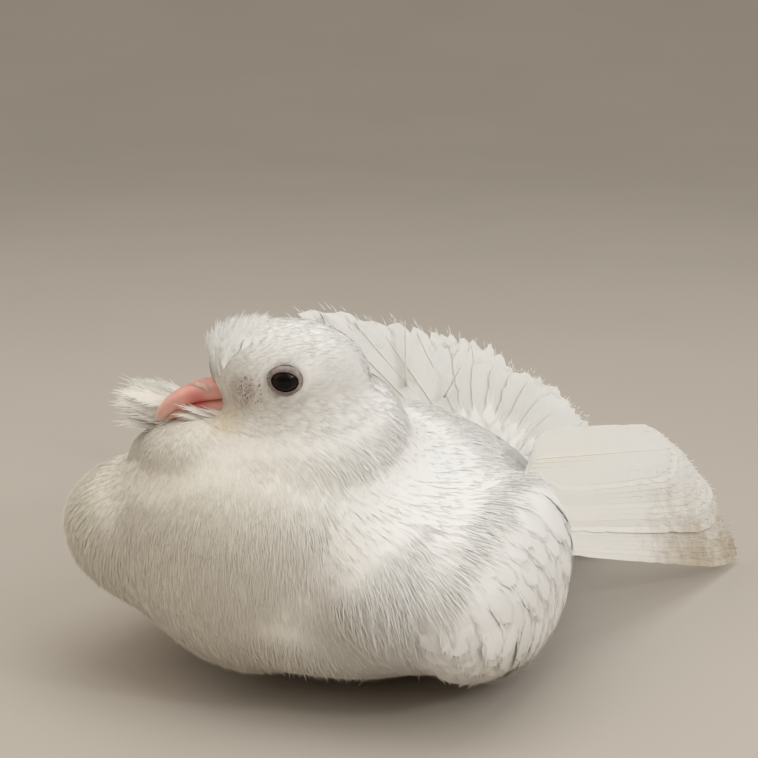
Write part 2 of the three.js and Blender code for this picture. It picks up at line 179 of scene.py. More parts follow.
class PigeonSizes(bpy.types.PropertyGroup):
    """Sizes of the bird's body and plumage."""

    body_coat: length_of("Body coat", "Depth of the plumage over the body", 2.4 * MM)
    head_coat: length_of("Head coat", "Depth of the plumage over the head", 1.1 * MM)
    skin_grain: length_of("Skin grain", "Size of the faces that the skin is made of", 1.1 * MM, 0.5 * MM)
    body_feather: length_of("Body feather", "Length of a feather on the breast", 11.5 * MM, 2 * MM)
    covert_feather: length_of("Covert feather", "Length of a middle covert of the wing", 20 * MM, 4 * MM)
    density: bpy.props.FloatProperty(
        name="Density", description="How densely the small feathers stand, 1 being the modelled bird",
        default=1.0, min=0.1, max=1.5, subtype="FACTOR")
    flight_feathers: count_of("Flight feathers", "Flight feathers that show on each wing", 16, 6)
    fan_feathers: count_of("Tail feathers", "Feathers in the raised tail fan", 30, 8)


class PigeonColours(bpy.types.PropertyGroup):
    """Colours of the bird."""

    white: colour_of("White", "Clean plumage", (0.90, 0.89, 0.87))
    # Cream is also painted as warm shade on the breast and the right shoulder.
    cream: colour_of("Cream", "Tinted plumage of the breast and flight feathers", (0.86, 0.81, 0.70))
    # This colour is also laid low on the wings by the floor, where it is partly painted shade.
    soil_and_shade: colour_of("Soil", "Dirt on the worn ends of the wings", (0.42, 0.31, 0.18))
    bare_skin: colour_of("Bare skin", "Skin of the lores and round the eye", (0.62, 0.47, 0.42))
    bill: colour_of("Bill", "Horn of the bill", (0.80, 0.40, 0.34))
    cere: colour_of("Cere", "Swollen skin over the nostrils", (0.66, 0.40, 0.33))
    foot: colour_of("Foot", "Scaled skin of the feet", (0.62, 0.20, 0.17))


class PigeonStage(bpy.types.PropertyGroup):
    """Camera, lights and floor."""

    turn: angle_of("Turn", "Camera's angle round the bird", 30)
    height: angle_of("Height", "Camera's angle above the floor", 12.5)
    distance: length_of("Distance", "Camera to the point it looks at", 430 * MM)
    view_angle: angle_of("View angle", "Width of the camera's view", 24.853)
    look_at: bpy.props.FloatVectorProperty(
        name="Look at", description="Point in the middle of the picture",
        default=(-1.24 * MM, 15.65 * MM, 63.95 * MM), unit="LENGTH", size=3)
    floor: colour_of("Floor", "Colour of floor and backdrop", (0.55, 0.50, 0.44))


# Meshes

def read_points(ob):
    points = np.empty(len(ob.data.vertices) * 3)
    ob.data.vertices.foreach_get("co", points)
    return points.reshape(-1, 3)


def write_points(ob, points):
    ob.data.vertices.foreach_set("co", np.asarray(points, float).ravel())
    ob.data.update()


def fresh(name):
    """The object that the last primitive left, renamed."""
    ob = bpy.context.object
    ob.name = name
    ob.data.name = name
    return ob


def deselect_all():
    if bpy.context.object and bpy.context.object.mode != "OBJECT":
        bpy.ops.object.mode_set(mode="OBJECT")
    bpy.ops.object.select_all(action="DESELECT")


def only(ob):
    """Makes ob the one selected and active object."""
    deselect_all()
    ob.select_set(True)
    bpy.context.view_layer.objects.active = ob


def joined(objects, name):
    deselect_all()
    for ob in objects:
        ob.select_set(True)
    bpy.context.view_layer.objects.active = objects[0]
    if len(objects) > 1:
        bpy.ops.object.join()
    return fresh(name)


def finish_with(ob, kind, **settings):
    """Adds a modifier with these settings and applies it."""
    only(ob)
    modifier = ob.modifiers.new(kind.title(), kind)
    for key, value in settings.items():
        setattr(modifier, key, value)
    bpy.ops.object.modifier_apply(modifier=modifier.name)


def smooth_shaded(ob):
    only(ob)
    bpy.ops.object.shade_smooth()


def facing_out(ob):
    only(ob)
    bpy.ops.object.mode_set(mode="EDIT")
    bpy.ops.mesh.select_all(action="SELECT")
    bpy.ops.mesh.remove_doubles(threshold=1e-7)
    bpy.ops.mesh.normals_make_consistent(inside=False)
    bpy.ops.object.mode_set(mode="OBJECT")


def placed(ob, slot, material, *nodes):
    """Gives a finished piece its material and its place in the frame, and hides the solids of the nodes it
    stands for.
    """
    ob.data.materials.clear()
    ob.data.materials.append(material)
    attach(ob, "root")
    if nodes:
        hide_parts(*nodes)
    return ob


def ball(name, around=48, along=32):
    bpy.ops.mesh.primitive_uv_sphere_add(segments=around, ring_count=along, radius=1.0)
    return fresh(name)


def form_points(form, directions, depth):
    """Where unit directions meet a form's surface, depth under it, in millimetres."""
    far = np.where(directions < 0, form["low"], form["high"])
    points = directions * (far - depth) + form["at"]
    for at, radius, push in form["swells"]:
        near = np.exp(-np.sum((points - np.array(at, float)) ** 2, axis=1) / radius ** 2)
        points = points + near[:, None] * np.array(push, float)
    return points


def drawn_bar(name, stations, sides, shape):
    """A closed bar drawn out by extruding a disc, then laid along shape(angle, station)."""
    bpy.ops.mesh.primitive_circle_add(vertices=sides, radius=1.0, fill_type="NGON")
    ob = fresh(name)
    bpy.ops.object.mode_set(mode="EDIT")
    bpy.ops.mesh.select_all(action="SELECT")
    for _ in range(stations - 1):
        bpy.ops.mesh.extrude_region_move(TRANSFORM_OT_translate={"value": (0, 0, 1)})
    bpy.ops.object.mode_set(mode="OBJECT")
    flat = read_points(ob)
    angle = np.arctan2(flat[:, 1], flat[:, 0])
    along = np.round(flat[:, 2]) / (stations - 1)
    write_points(ob, shape(angle, along))
    facing_out(ob)
    return ob


def along_curve(points, t):
    """Places and directions at t on a smooth curve through points."""
    points = np.asarray(points, float)
    padded = np.vstack((2 * points[0] - points[1], points, 2 * points[-1] - points[-2]))
    spans = len(points) - 1
    s = np.clip(np.asarray(t, float), 0, 1) * spans
    i = np.minimum(s.astype(int), spans - 1)
    f = (s - i)[:, None]
    a, b, c, d = padded[i], padded[i + 1], padded[i + 2], padded[i + 3]
    place = 0.5 * (2 * b + (c - a) * f + (2 * a - 5 * b + 4 * c - d) * f ** 2
                   + (3 * b - a - 3 * c + d) * f ** 3)
    heading = 0.5 * ((c - a) + 2 * (2 * a - 5 * b + 4 * c - d) * f + 3 * (3 * b - a - 3 * c + d) * f ** 2)
    return place, unit(heading)


# Materials

class Shades:
    """A material's nodes, added one by one and linked as they are made."""

    def __init__(self, name):
        self.material = bpy.data.materials.new(name)
        self.material.use_nodes = True
        self.nodes = self.material.node_tree.nodes
        self.links = self.material.node_tree.links
        self.surface = self.nodes["Principled BSDF"]

    def add(self, kind, settings=None, **sockets):
        node = self.nodes.new("ShaderNode" + kind)
        for key, value in (settings or {}).items():
            setattr(node, key, value)
        for key, value in sockets.items():
            self.set(node, key.replace("_", " "), value)
        return node

    def set(self, node, socket, value):
        """Links or sets a socket, by its name or as n and its number."""
        numbered = socket[0] == "n" and socket[1:].isdigit()
        place = node.inputs[int(socket[1:])] if numbered else node.inputs[socket]
        if isinstance(value, bpy.types.NodeSocket):
            self.links.new(value, place)
        else:
            place.default_value = value

    def math(self, operation, a, b=0.0):
        return self.add("Math", {"operation": operation}, n0=a, n1=b).outputs[0]

    def times(self, a, b):
        return self.math("MULTIPLY", a, b)

    def ramp(self, value, low, high, to_low=0.0, to_high=1.0):
        node = self.add("MapRange", {"interpolation_type": "SMOOTHSTEP"}, Value=value, From_Min=low,
                        From_Max=high, To_Min=to_low, To_Max=to_high)
        return node.outputs["Result"]

    def mix(self, share, a, b):
        """Colour a where share is 0, b where it is 1."""
        node = self.add("Mix", {"data_type": "RGBA"})
        self.set(node, "n0", share)
        for socket, value in ((6, a), (7, b)):
            if isinstance(value, bpy.types.NodeSocket):
                self.links.new(value, node.inputs[socket])
            else:
                node.inputs[socket].default_value = (*value, 1.0)
        return node.outputs[2]

    def place(self):
        return self.add("TexCoord").outputs["Object"]

    def noise(self, where, scale, detail=3.0, roughness=0.5):
        node = self.add("TexNoise", Vector=where, Scale=scale, Detail=detail, Roughness=roughness)
        return node.outputs["Fac"]

    def stretched(self, where, scale):
        return self.add("Mapping", Vector=where, Scale=scale).outputs["Vector"]

    def far_from(self, where, point):
        """Distance in metres from a point of the part that is given in millimetres."""
        node = self.add("VectorMath", {"operation": "DISTANCE"})
        self.links.new(where, node.inputs[0])
        node.inputs[1].default_value = tuple(np.asarray(point) * MM)
        return node.outputs["Value"]

    def near(self, where, point, full, none, share=1.0):
        """share up to full millimetres from a point, fading to nothing at none."""
        return self.ramp(self.far_from(where, point), full * MM, none * MM, share, 0.0)

    def mottled(self, where, scale, detail, a, b):
        """Two colours mixed in soft spots."""
        return self.mix(self.ramp(self.noise(where, scale, detail), 0.3, 0.7), a, b)

    def feather_map(self):
        """Each feather's own map: across in X, from root to tip in Y."""
        return self.add("UVMap", {"uv_map": "Feather"}).outputs["UV"]

    def toned(self, colour, share, shade):
        """A colour drawn towards another by a random share in each feather."""
        tone = self.add("Attribute", {"attribute_name": "tone"}).outputs["Fac"]
        return self.mix(self.times(tone, share), colour, shade)

    def bump(self, height, strength, depth):
        node = self.add("Bump", Strength=strength, Distance=depth, Height=height)
        self.links.new(node.outputs["Normal"], self.surface.inputs["Normal"])

    def look(self, colour, roughness, shine, **sockets):
        """Sets the surface and gives the finished material."""
        sockets.update(Base_Color=colour, Roughness=roughness, Specular_IOR_Level=shine)
        for key, value in sockets.items():
            self.set(self.surface, key.replace("_", " "), value)
        return self.material


def white_markings_and_painted_shade(shades, colours, where):
    """The white of the bird, shared by skin and coat: its cream tint, a stain under the chin, dirt low down,
    and painted shade on the breast, the right shoulder and low down.
    """
    cream = tuple(colours.cream)
    clouds = shades.noise(where, 55.0, 3.0)
    patches = shades.noise(where, 18.0, 2.0)
    tint = shades.times(shades.ramp(clouds, 0.35, 0.75), shades.ramp(patches, 0.4, 0.7))
    colour = shades.mix(shades.times(tint, 0.22), tuple(colours.white), cream)
    # Cream spots on the right shoulder and the front of the breast: partly the plumage's own cream, partly
    # painted warm shade.
    for middle, full, none, share in (
        ((-50, -38, 24), 14, 40, 0.8),
        ((-22, -62, 34), 22, 78, 0.75),
    ):
        colour = shades.mix(shades.near(where, middle, full, none, share), colour, cream)
    # Darker brown low down by the floor, in patches: partly dirt, partly painted shade.
    level = shades.add("SeparateXYZ", Vector=where).outputs["Z"]
    patchy = shades.ramp(shades.noise(where, 90.0, 3.0), 0.25, 0.7, 0.5, 1.0)
    low = shades.times(shades.ramp(level, 1 * MM, 24 * MM, 0.7, 0.0), patchy)
    colour = shades.mix(low, colour, (0.60, 0.51, 0.38))
    chin = shades.near(where, from_head((7.5, -12.5, -9.0)), 1, 7, 0.55)
    return shades.mix(chin, colour, (0.80, 0.70, 0.50))


def lore_share(shades, where):
    """How bare a place is: 1 on the lores of both sides, 0 away from them."""
    left, right = (shades.near(where, from_head(LORE_AT * (side, 1, 1)), 2.2, 5.2) for _, side in SIDES)
    return shades.math("MAXIMUM", left, right)


def plumage_material(name, colours, streaks=9.0, relief=0.22):
    """Small feathers: white barbs in fine streaks, a little lighter or darker by feather."""
    shades = Shades(name)
    where = shades.place()
    colour = white_markings_and_painted_shade(shades, colours, where)
    bare = shades.times(shades.noise(where, 420.0, 2.0), lore_share(shades, where))
    colour = shades.mix(shades.times(bare, 0.9), colour, (0.62, 0.50, 0.45))
    colour = shades.toned(colour, 0.06, (0.70, 0.67, 0.62))
    along = shades.stretched(shades.feather_map(), (streaks, 1.2, 1.0))
    shades.bump(shades.noise(along, 3.0, 3.0, 0.6), relief, 0.2 * MM)
    return shades.look(colour, 0.72, 0.25, Sheen_Weight=0.12, Sheen_Roughness=0.4)


def flight_material(name, colours, soil_and_shade_at):
    """Flight and tail feathers: smooth vanes with slanted barbs, a pale shaft and worn, dirty ends, with
    painted shade mixed into the dirt low down.
    """
    shades = Shades(name)
    where = shades.place()
    split = shades.add("SeparateXYZ", Vector=shades.feather_map())
    side = shades.math("ABSOLUTE", shades.math("SUBTRACT", split.outputs["X"], 0.5))
    barbs = shades.math("SUBTRACT", shades.times(split.outputs["Y"], 90.0), shades.times(side, 26.0))
    lines = shades.math("SINE", shades.times(barbs, 2 * math.pi))
    colour = white_markings_and_painted_shade(shades, colours, where)
    colour = shades.mix(shades.ramp(split.outputs["Y"], 0.1, 0.9, 0.35, 0.1), colour, tuple(colours.cream))
    # Each spot darkens towards the dirt colour; the last wing spot is partly painted shade.
    for at, reach, share in soil_and_shade_at:
        reach *= MM
        ragged = shades.times(shades.noise(where, 260.0, 4.0, 0.7), reach * 0.9)
        far = shades.math("ADD", shades.far_from(where, at), ragged)
        soil_and_shade_share = shades.ramp(far, reach * 0.35, reach * 1.25, share, 0.0)
        colour = shades.mix(soil_and_shade_share, colour, tuple(colours.soil_and_shade))
    colour = shades.toned(colour, 0.12, (0.68, 0.65, 0.58))
    shaft = shades.ramp(side, 0.012, 0.03, 1.0, 0.0)
    colour = shades.mix(shades.times(shaft, 0.5), colour, (0.90, 0.86, 0.76))
    soft = shades.times(shades.noise(where, 120.0, 3.0), 1.2)
    shades.bump(shades.math("ADD", shades.times(lines, 0.35), soft), 0.3, 0.2 * MM)
    return shades.look(colour, 0.55, 0.3, Sheen_Weight=0.08, Sheen_Roughness=0.4)


def skin_material(colours):
    """Skin under the plumage: the coat's markings with their painted shade, and bare skin on the lores."""
    shades = Shades("pigeon_skin")
    where = shades.place()
    colour = white_markings_and_painted_shade(shades, colours, where)
    bare = shades.times(lore_share(shades, where), 0.75)
    colour = shades.mix(bare, colour, tuple(colours.bare_skin))
    shades.bump(shades.noise(where, 700.0, 4.0), 0.4, 0.3 * MM)
    return shades.look(colour, 0.8, 0.2)


def lid_material():
    """Wrinkled grey skin, darkest at the rim of the opening."""
    shades = Shades("eyelid_skin")
    where = shades.place()
    colour = shades.mottled(where, 500.0, 3.0, (0.38, 0.31, 0.29), (0.20, 0.16, 0.15))
    for _, side in SIDES:
        middle = from_head(EYE_AT * (side, 1, 1) + (2.9 * side, 0, 0))
        colour = shades.mix(shades.near(where, middle, 2.7, 3.3, 0.75), colour, (0.20, 0.14, 0.12))
    shades.bump(shades.noise(where, 1400.0, 3.0), 0.6, 0.15 * MM)
    return shades.look(colour, 0.5, 0.4)


def eye_material():
    """A dark brown iris round a black pupil under a wet, clear surface."""
    shades = Shades("pigeon_eye")
    where = shades.place()
    colour = None
    for _, side in SIDES:
        front = from_head(EYE_AT * (side, 1, 1) + (EYE_REACH[0] * side, 0, 0))
        far = shades.far_from(where, front)
        pupil = shades.ramp(far, 1.55 * MM, 1.8 * MM)
        rim = shades.ramp(far, 2.6 * MM, 3.2 * MM)
        fibres = shades.ramp(shades.noise(where, 1600.0, 2.0), 0.35, 0.7)
        iris = shades.mix(fibres, (0.010, 0.005, 0.004), (0.020, 0.009, 0.006))
        iris = shades.mix(rim, iris, (0.012, 0.006, 0.005))
        eye = shades.mix(pupil, (0.004, 0.003, 0.003), iris)
        near = shades.ramp(far, 8 * MM, 9 * MM, 1.0, 0.0)
        colour = eye if colour is None else shades.mix(near, colour, eye)
    return shades.look(colour, 0.03, 0.25, IOR=1.38)


def bill_material(colours):
    """Rosy horn, paler at the tip and flushed along the slit."""
    shades = Shades("bill_horn")
    where = shades.place()
    colour = shades.mottled(where, 300.0, 3.0, tuple(colours.bill), (0.86, 0.45, 0.36))
    tip = shades.near(where, from_head((0, -28, -9.6)), 1, 8, 0.55)
    colour = shades.mix(tip, colour, (0.86, 0.58, 0.50))
    for _, side in SIDES:
        slit = shades.near(where, from_head((3.0 * side, -19.4, -5.8)), 0.6, 4.2, 0.8)
        colour = shades.mix(slit, colour, (0.64, 0.14, 0.12))
    grain = shades.stretched(where, (500, 500, 900))
    shades.bump(shades.noise(grain, 1.0, 3.0), 0.25, 0.1 * MM)
    return shades.look(colour, 0.38, 0.45, Subsurface_Weight=0.15, Subsurface_Radius=(0.9, 0.35, 0.25),
                       Subsurface_Scale=1.2 * MM)


def cere_material(colours):
    """Swollen skin with a chalky bloom."""
    shades = Shades("cere_skin")
    where = shades.place()
    powder = shades.ramp(shades.noise(where, 800.0, 4.0), 0.4, 0.7)
    colour = shades.mix(shades.times(powder, 0.5), tuple(colours.cere), (0.80, 0.66, 0.60))
    shades.bump(shades.noise(where, 1300.0, 3.0), 0.5, 0.12 * MM)
    return shades.look(colour, 0.65, 0.3, Subsurface_Weight=0.1, Subsurface_Radius=(0.9, 0.4, 0.3),
                       Subsurface_Scale=1.0 * MM)


def foot_material(colours):
    """Red skin in small raised scales with darker gaps."""
    shades = Shades("foot_skin")
    cells = shades.add("TexVoronoi", {"feature": "DISTANCE_TO_EDGE"}, Vector=shades.place(), Scale=600.0)
    edge = shades.ramp(cells.outputs["Distance"], 0.0, 0.12)
    shades.bump(edge, 0.6, 0.15 * MM)
    return shades.look(shades.mix(edge, (0.40, 0.12, 0.10), tuple(colours.foot)), 0.5, 0.4)


def claw_material():
    shades = Shades("claw_horn")
    colour = shades.mottled(shades.place(), 400.0, 2.0, (0.42, 0.33, 0.28), (0.62, 0.52, 0.45))
    return shades.look(colour, 0.35, 0.5)


def shaft_material():
    shades = Shades("feather_shaft")
    colour = shades.mottled(shades.place(), 200.0, 2.0, (0.90, 0.88, 0.82), (0.84, 0.80, 0.70))
    return shades.look(colour, 0.35, 0.5)


def bristle_material():
    shades = Shades("lore_bristle")
    spots = shades.noise(shades.place(), 900.0, 2.0)
    return shades.look(shades.mix(spots, (0.09, 0.055, 0.045), (0.26, 0.17, 0.13)), 0.6, 0.5)


def stage_material(colour):
    shades = Shades("stage_paper")
    darker = tuple(0.97 * c for c in colour)
    return shades.look(shades.mottled(shades.place(), 6.0, 2.0, tuple(colour), darker), 0.9, 0.2)


# Plumage

# Plumage

class Surface:
    """The skin as a surface to set feathers on: nearest points with smooth normals, in millimetres."""

    def __init__(self, ob):
        mesh = ob.data
        mesh.calc_loop_triangles()
        self.points = read_points(ob) / MM
        corners = np.empty(len(mesh.loop_triangles) * 3, np.int32)
        mesh.loop_triangles.foreach_get("vertices", corners)
        self.corners = corners.reshape(-1, 3)
        normals = np.empty(len(mesh.vertices) * 3)
        mesh.vertices.foreach_get("normal", normals)
        self.normals = normals.reshape(-1, 3)
        self.tree = BVHTree.FromPolygons(self.points.tolist(), self.corners.tolist())

    def nearest(self, points):
        count = len(points)
        place = np.empty((count, 3))
        face = np.empty(count, np.int64)
        find = self.tree.find_nearest
        for i, point in enumerate(points.tolist()):
            at, _, index, _ = find(point)
            place[i] = at
            face[i] = index
        return place, self.normals_on(place, face)

    def normals_on(self, place, face):
        corner = self.points[self.corners[face]]
        weight = 1.0 / (np.linalg.norm(corner - place[:, None], axis=2) + 1e-4)
        return unit(np.einsum("ij,ijk->ik", weight, self.normals[self.corners[face]]))

    def scattered(self, spacing, rng, tries=2.6, cell_share=0.72):
        """Random points over the surface, about spacing(points) apart, in a random order."""
        a, b, c = (self.points[self.corners[:, k]] for k in range(3))
        area = 0.5 * np.linalg.norm(np.cross(b - a, c - a), axis=1)
        gap = spacing((a + b + c) / 3)
        wanted = area / gap ** 2 * tries
        count = int(wanted.sum())
        face = rng.choice(len(area), size=count, p=wanted / wanted.sum())
        u, v = np.sqrt(rng.random(count)), rng.random(count)
        place = (a[face] * (1 - u)[:, None] + b[face] * (u * (1 - v))[:, None] + c[face] * (u * v)[:, None])
        gap = gap[face]
        kept = np.ones(count, bool)
        for shift in (0.0, 0.5):
            level = np.round(np.log(gap) * 4)
            cell = np.floor(place / (cell_share * np.exp(level / 4))[:, None] + shift)
            _, first = np.unique(np.column_stack((cell, level))[kept], axis=0, return_index=True)
            index = np.flatnonzero(kept)[first]
            kept = np.zeros(count, bool)
            kept[index] = True
        order = rng.permutation(np.flatnonzero(kept))
        return place[order], self.normals_on(place[order], face[order])


def wing_share(points):
    """How far a place belongs to the folded wings: 0 on breast and back, 1 in the middle of the wing."""
    x, y, z = points.T
    out = ease(np.abs(x) + 0.3 * np.clip(40 - z, 0, 40), 38, 52)
    return out * ease(y, -60, -42) * (1 - ease(y, 22, 40)) * ease(z, 4, 14)


def lie_of_coat(points):
    """The way in which the feathers lie: from the bill over the head, down the breast, back over the rest."""
    local = to_head(points)
    from_bill = unit(local - BILL_BASE) @ HEAD_TURN.T
    from_crown = unit(points - np.array((-4.0, -40.0, 112.0)))
    on_head = 1 - ease(np.linalg.norm(local * (1, 0.8, 1), axis=1), 16, 34)
    lie = from_bill * on_head[:, None] + from_crown * (1 - on_head)[:, None]
    rear = ease(points[:, 1], -50, 28) * (1 - on_head)
    lie[:, 1] += rear
    low = ease(-points[:, 2], -44, -10)
    swept = np.stack((0.08 * np.sign(points[:, 0]), 0.64 - 0.34 * low, -0.76 - 0.2 * low), 1)
    share = wing_share(points)[:, None]
    return lie * (1 - share) + swept * share


def walk(surface, roots, normals, length, steps, lie, follow):
    """Lines that run over the surface from the roots: places, normals and directions at each step.

    follow is 1 where a line keeps to the surface and 0 where it runs straight on."""
    follow = np.broadcast_to(follow, len(roots))
    heading = flat_to(lie(roots), normals)
    places, ups, ways = [roots], [normals], [heading]
    for _ in range(steps):
        ahead = places[-1] + heading * (length / steps)[:, None]
        near, up = surface.nearest(ahead)
        place = ahead + (near - ahead) * follow[:, None]
        up = unit(ups[-1] * (1 - follow)[:, None] + up * follow[:, None])
        way = flat_to(ways[-1] * 1.2 + flat_to(lie(place), up) * 0.5, up)
        places.append(place)
        ups.append(up)
        ways.append(way)
        heading = way
    return np.stack(places, 1), np.stack(ups, 1), np.stack(ways, 1)


def sampled(track, t):
    """Values of a track (feathers, steps, 3) at t (feathers, n), in a straight line between steps."""
    steps = track.shape[1] - 1
    s = np.clip(t, 0, 1) * steps
    i = np.minimum(s.astype(int), steps - 1)
    f = (s - i)[..., None]
    rows = np.arange(track.shape[0])[:, None]
    return track[rows, i] * (1 - f) + track[rows, i + 1] * f


OUTLINES = {
    "silky": ((0, 0.1, 0.3, 0.5, 0.7, 0.87, 1), (0.15, 0.5, 0.9, 1, 0.75, 0.38, 0.04)),
    "flight": ((0, 0.06, 0.25, 0.6, 0.85, 0.95, 1), (0.08, 0.35, 0.75, 1, 0.97, 0.7, 0.15)),
    "folded": ((0, 0.05, 0.2, 0.6, 0.85, 0.95, 1), (0.5, 0.85, 1, 1, 0.96, 0.72, 0.15)),
    "covert": ((0, 0.12, 0.35, 0.6, 0.8, 0.92, 1), (0.3, 0.7, 0.95, 1, 0.9, 0.62, 0.1)),
    "broken": ((0, 0.1, 0.4, 0.8, 0.95, 1), (0.1, 0.35, 0.8, 1, 0.95, 0.8)),
}


def linked(name, mesh):
    """An object for a mesh that is made from arrays."""
    ob = bpy.data.objects.new(name, mesh)
    bpy.context.scene.collection.objects.link(ob)
    return ob


class Coat:
    """Feathers of one kind that will be one mesh: their triangles, and what each point carries."""

    SWEEP = 0.5  # of the barbs towards the tip, as a share of the vane's width

    def __init__(self, kind, rows, columns, strands, reach=0.3, blade=0.2, first=0.3, cup=0.08, flare=0.4,
                 loose=0.03):
        self.kind, self.rows, self.columns, self.strands = kind, rows, columns, strands
        self.reach, self.blade, self.first = reach, blade, first
        self.cup, self.flare, self.loose = cup, flare, loose
        self.faces, self.start = [], 0
        self.carried = {"place": [], "tone": [], "Feather": [], "OFBake": [], "shade": []}

    def add(self, lines, width, rng, unwrap, height=None, ragged=0.0, cut=None, shade=None, back=None):
        """Lays a vane and its loose barbs along each line, which height lifts off the surface.

        lines are places, normals and directions. shade is the way that the feathers are shaded to, where
        that isn't the surface they stand on. back is the same for the far side, which then gets faces of
        its own. cut is the share of each feather that is left."""
        track, self.ups, self.ways = lines
        count = track.shape[0]
        self.length = np.linalg.norm(np.diff(track, axis=1), axis=2).sum(1)
        self.side = unit(np.cross(self.ways, self.ups))
        self.track = track if height is None else track + self.ups * height[..., None]
        self.half, self.cut = np.broadcast_to(width, count) / 2, cut
        self.unwrap, self.patch = unwrap
        self.lean = 0.05 * rng.normal(size=(count, 3))
        self.shades = [self.ups if shade is None else self.spread(shade)]
        if back is not None:
            self.shades.append(self.spread(back))
        self.tone = rng.random(count)
        t = np.linspace(0, 1, self.rows + 1)
        u = np.linspace(-1, 1, 2 * self.columns + 1)
        grid_t = np.broadcast_to(t[None, :, None], (count, len(t), len(u))).copy()
        grid_u = np.broadcast_to(u[None, None, :], grid_t.shape)
        half = self.outline(grid_t) * self.half[:, None, None]
        if ragged > 0:
            notch = rng.random((count, len(t), 2)) ** 6 * ragged
            edge = np.where(grid_u < 0, notch[:, :, :1], notch[:, :, 1:]) * (grid_u ** 2) * (grid_t > 0.2)
            half = half * (1 - edge)
        if cut is not None:
            torn = 1 - rng.random((count, 1, len(u))) * 0.07
            grid_t = grid_t * np.minimum(cut[:, None, None] * torn, 1.0)
        points = self.on_vane(grid_t, grid_u, half)
        self.keep(points.reshape(count, -1, 3), self.grid_faces(), grid_t, grid_u)
        if self.strands:
            self.add_strands(rng)

    def spread(self, way):
        return np.broadcast_to(unit(np.asarray(way, float)).reshape(-1, 1, 3), self.ups.shape)

    def outline(self, t):
        return np.interp(t, *OUTLINES[self.kind])

    def on_vane(self, t, u, half):
        """Places at t along the feathers and u across them, half being half their width there."""
        count = len(self.track)
        swept = t + self.SWEEP * np.abs(u) * half / self.length[:, None, None] * (1 - t)
        flat = swept.reshape(count, -1)
        place, up, across = (sampled(values, flat) for values in (self.track, self.ups, self.side))
        offset = (u * half).reshape(count, -1)
        fall = (self.cup * u * u * half).reshape(count, -1)
        return place + across * offset[..., None] - up * fall[..., None]

    def grid_faces(self):
        wide = 2 * self.columns + 1
        faces = []
        for row in range(self.rows):
            for column in range(wide - 1):
                a = row * wide + column
                faces += [(a, a + 1, a + wide + 1), (a, a + wide + 1, a + wide)]
        return np.array(faces)

    def add_strands(self, rng):
        """Loose barbs: thin blades that leave the vane's rim and bend towards its tip."""
        count, many = len(self.track), self.strands
        t = self.first + (1 - self.first) * (np.arange(many) + rng.random((count, many))) / many
        t = t ** 0.8
        if self.cut is not None:
            t = t * self.cut[:, None]
        hand = np.where(np.arange(many) % 2 == 0, 1.0, -1.0)[None, :]
        u = hand * (0.55 + 0.4 * rng.random((count, many)))
        half = self.outline(t) * self.half[:, None]
        place = self.on_vane(t[..., None], u[..., None], half[..., None])
        up, across, ahead = (sampled(values, t) for values in (self.ups, self.side, self.ways))
        spread = (self.flare * (1.1 - t) + 0.1 * rng.normal(size=t.shape)) * hand
        rise = self.loose * (0.6 + rng.normal(size=t.shape))
        way = unit(ahead * np.cos(spread)[..., None] + across * np.sin(spread)[..., None]
                   + up * rise[..., None])
        reach = self.length[:, None] * self.reach * (0.55 + 0.9 * rng.random(t.shape))
        wide = self.blade * (0.7 + 0.6 * rng.random(t.shape)) / 2
        edge = unit(np.cross(way, up)) * wide[..., None]
        middle = place + way * (reach * 0.5)[..., None]
        bend = unit(way * 0.75 + ahead * 0.5 - up * 0.04)
        tip = middle + bend * (reach * 0.5)[..., None]
        blade = np.stack((place - edge, place + edge, middle + edge * 0.8, middle - edge * 0.8, tip), 2)
        faces = (np.arange(many)[:, None, None] * 5
                 + np.array(((0, 1, 2), (0, 2, 3), (3, 2, 4)))[None]).reshape(-1, 3)
        grid_t = np.stack((t, t, t + 0.1, t + 0.1, t + 0.2), 2)
        grid_u = np.stack((u,) * 5, 2) + np.array((-0.1, 0.1, 0.1, -0.1, 0.0))
        self.keep(blade.reshape(count, -1, 3), faces, grid_t, grid_u)

    def keep(self, points, faces, t, u):
        """Stores faces and what their points carry, once for each side that has faces of its own."""
        count, each = points.shape[:2]
        chart = np.stack((0.5 + 0.5 * u.reshape(count, -1), t.reshape(count, -1)), 2)
        along = np.clip(chart[..., 1], 0, 1)
        bake = self.unwrap[:, None] + (np.clip(chart, 0, 1) - 0.5) * self.patch
        tones = np.repeat(self.tone[:, None], each, 1)
        for gap, order, shade in zip((0, FACE_GAP), (1, -1), self.shades):
            index = np.arange(count)[:, None, None] * each + faces[None, :, ::order] + self.start
            self.faces.append(index.reshape(-1, 3))
            self.start += count * each
            place = points - sampled(self.ups, along) * gap
            values = (place, tones, chart, bake, sampled(shade, along) + self.lean[:, None])
            for kept, value in zip(self.carried.values(), values):
                kept.append(value.reshape(count * each, -1))

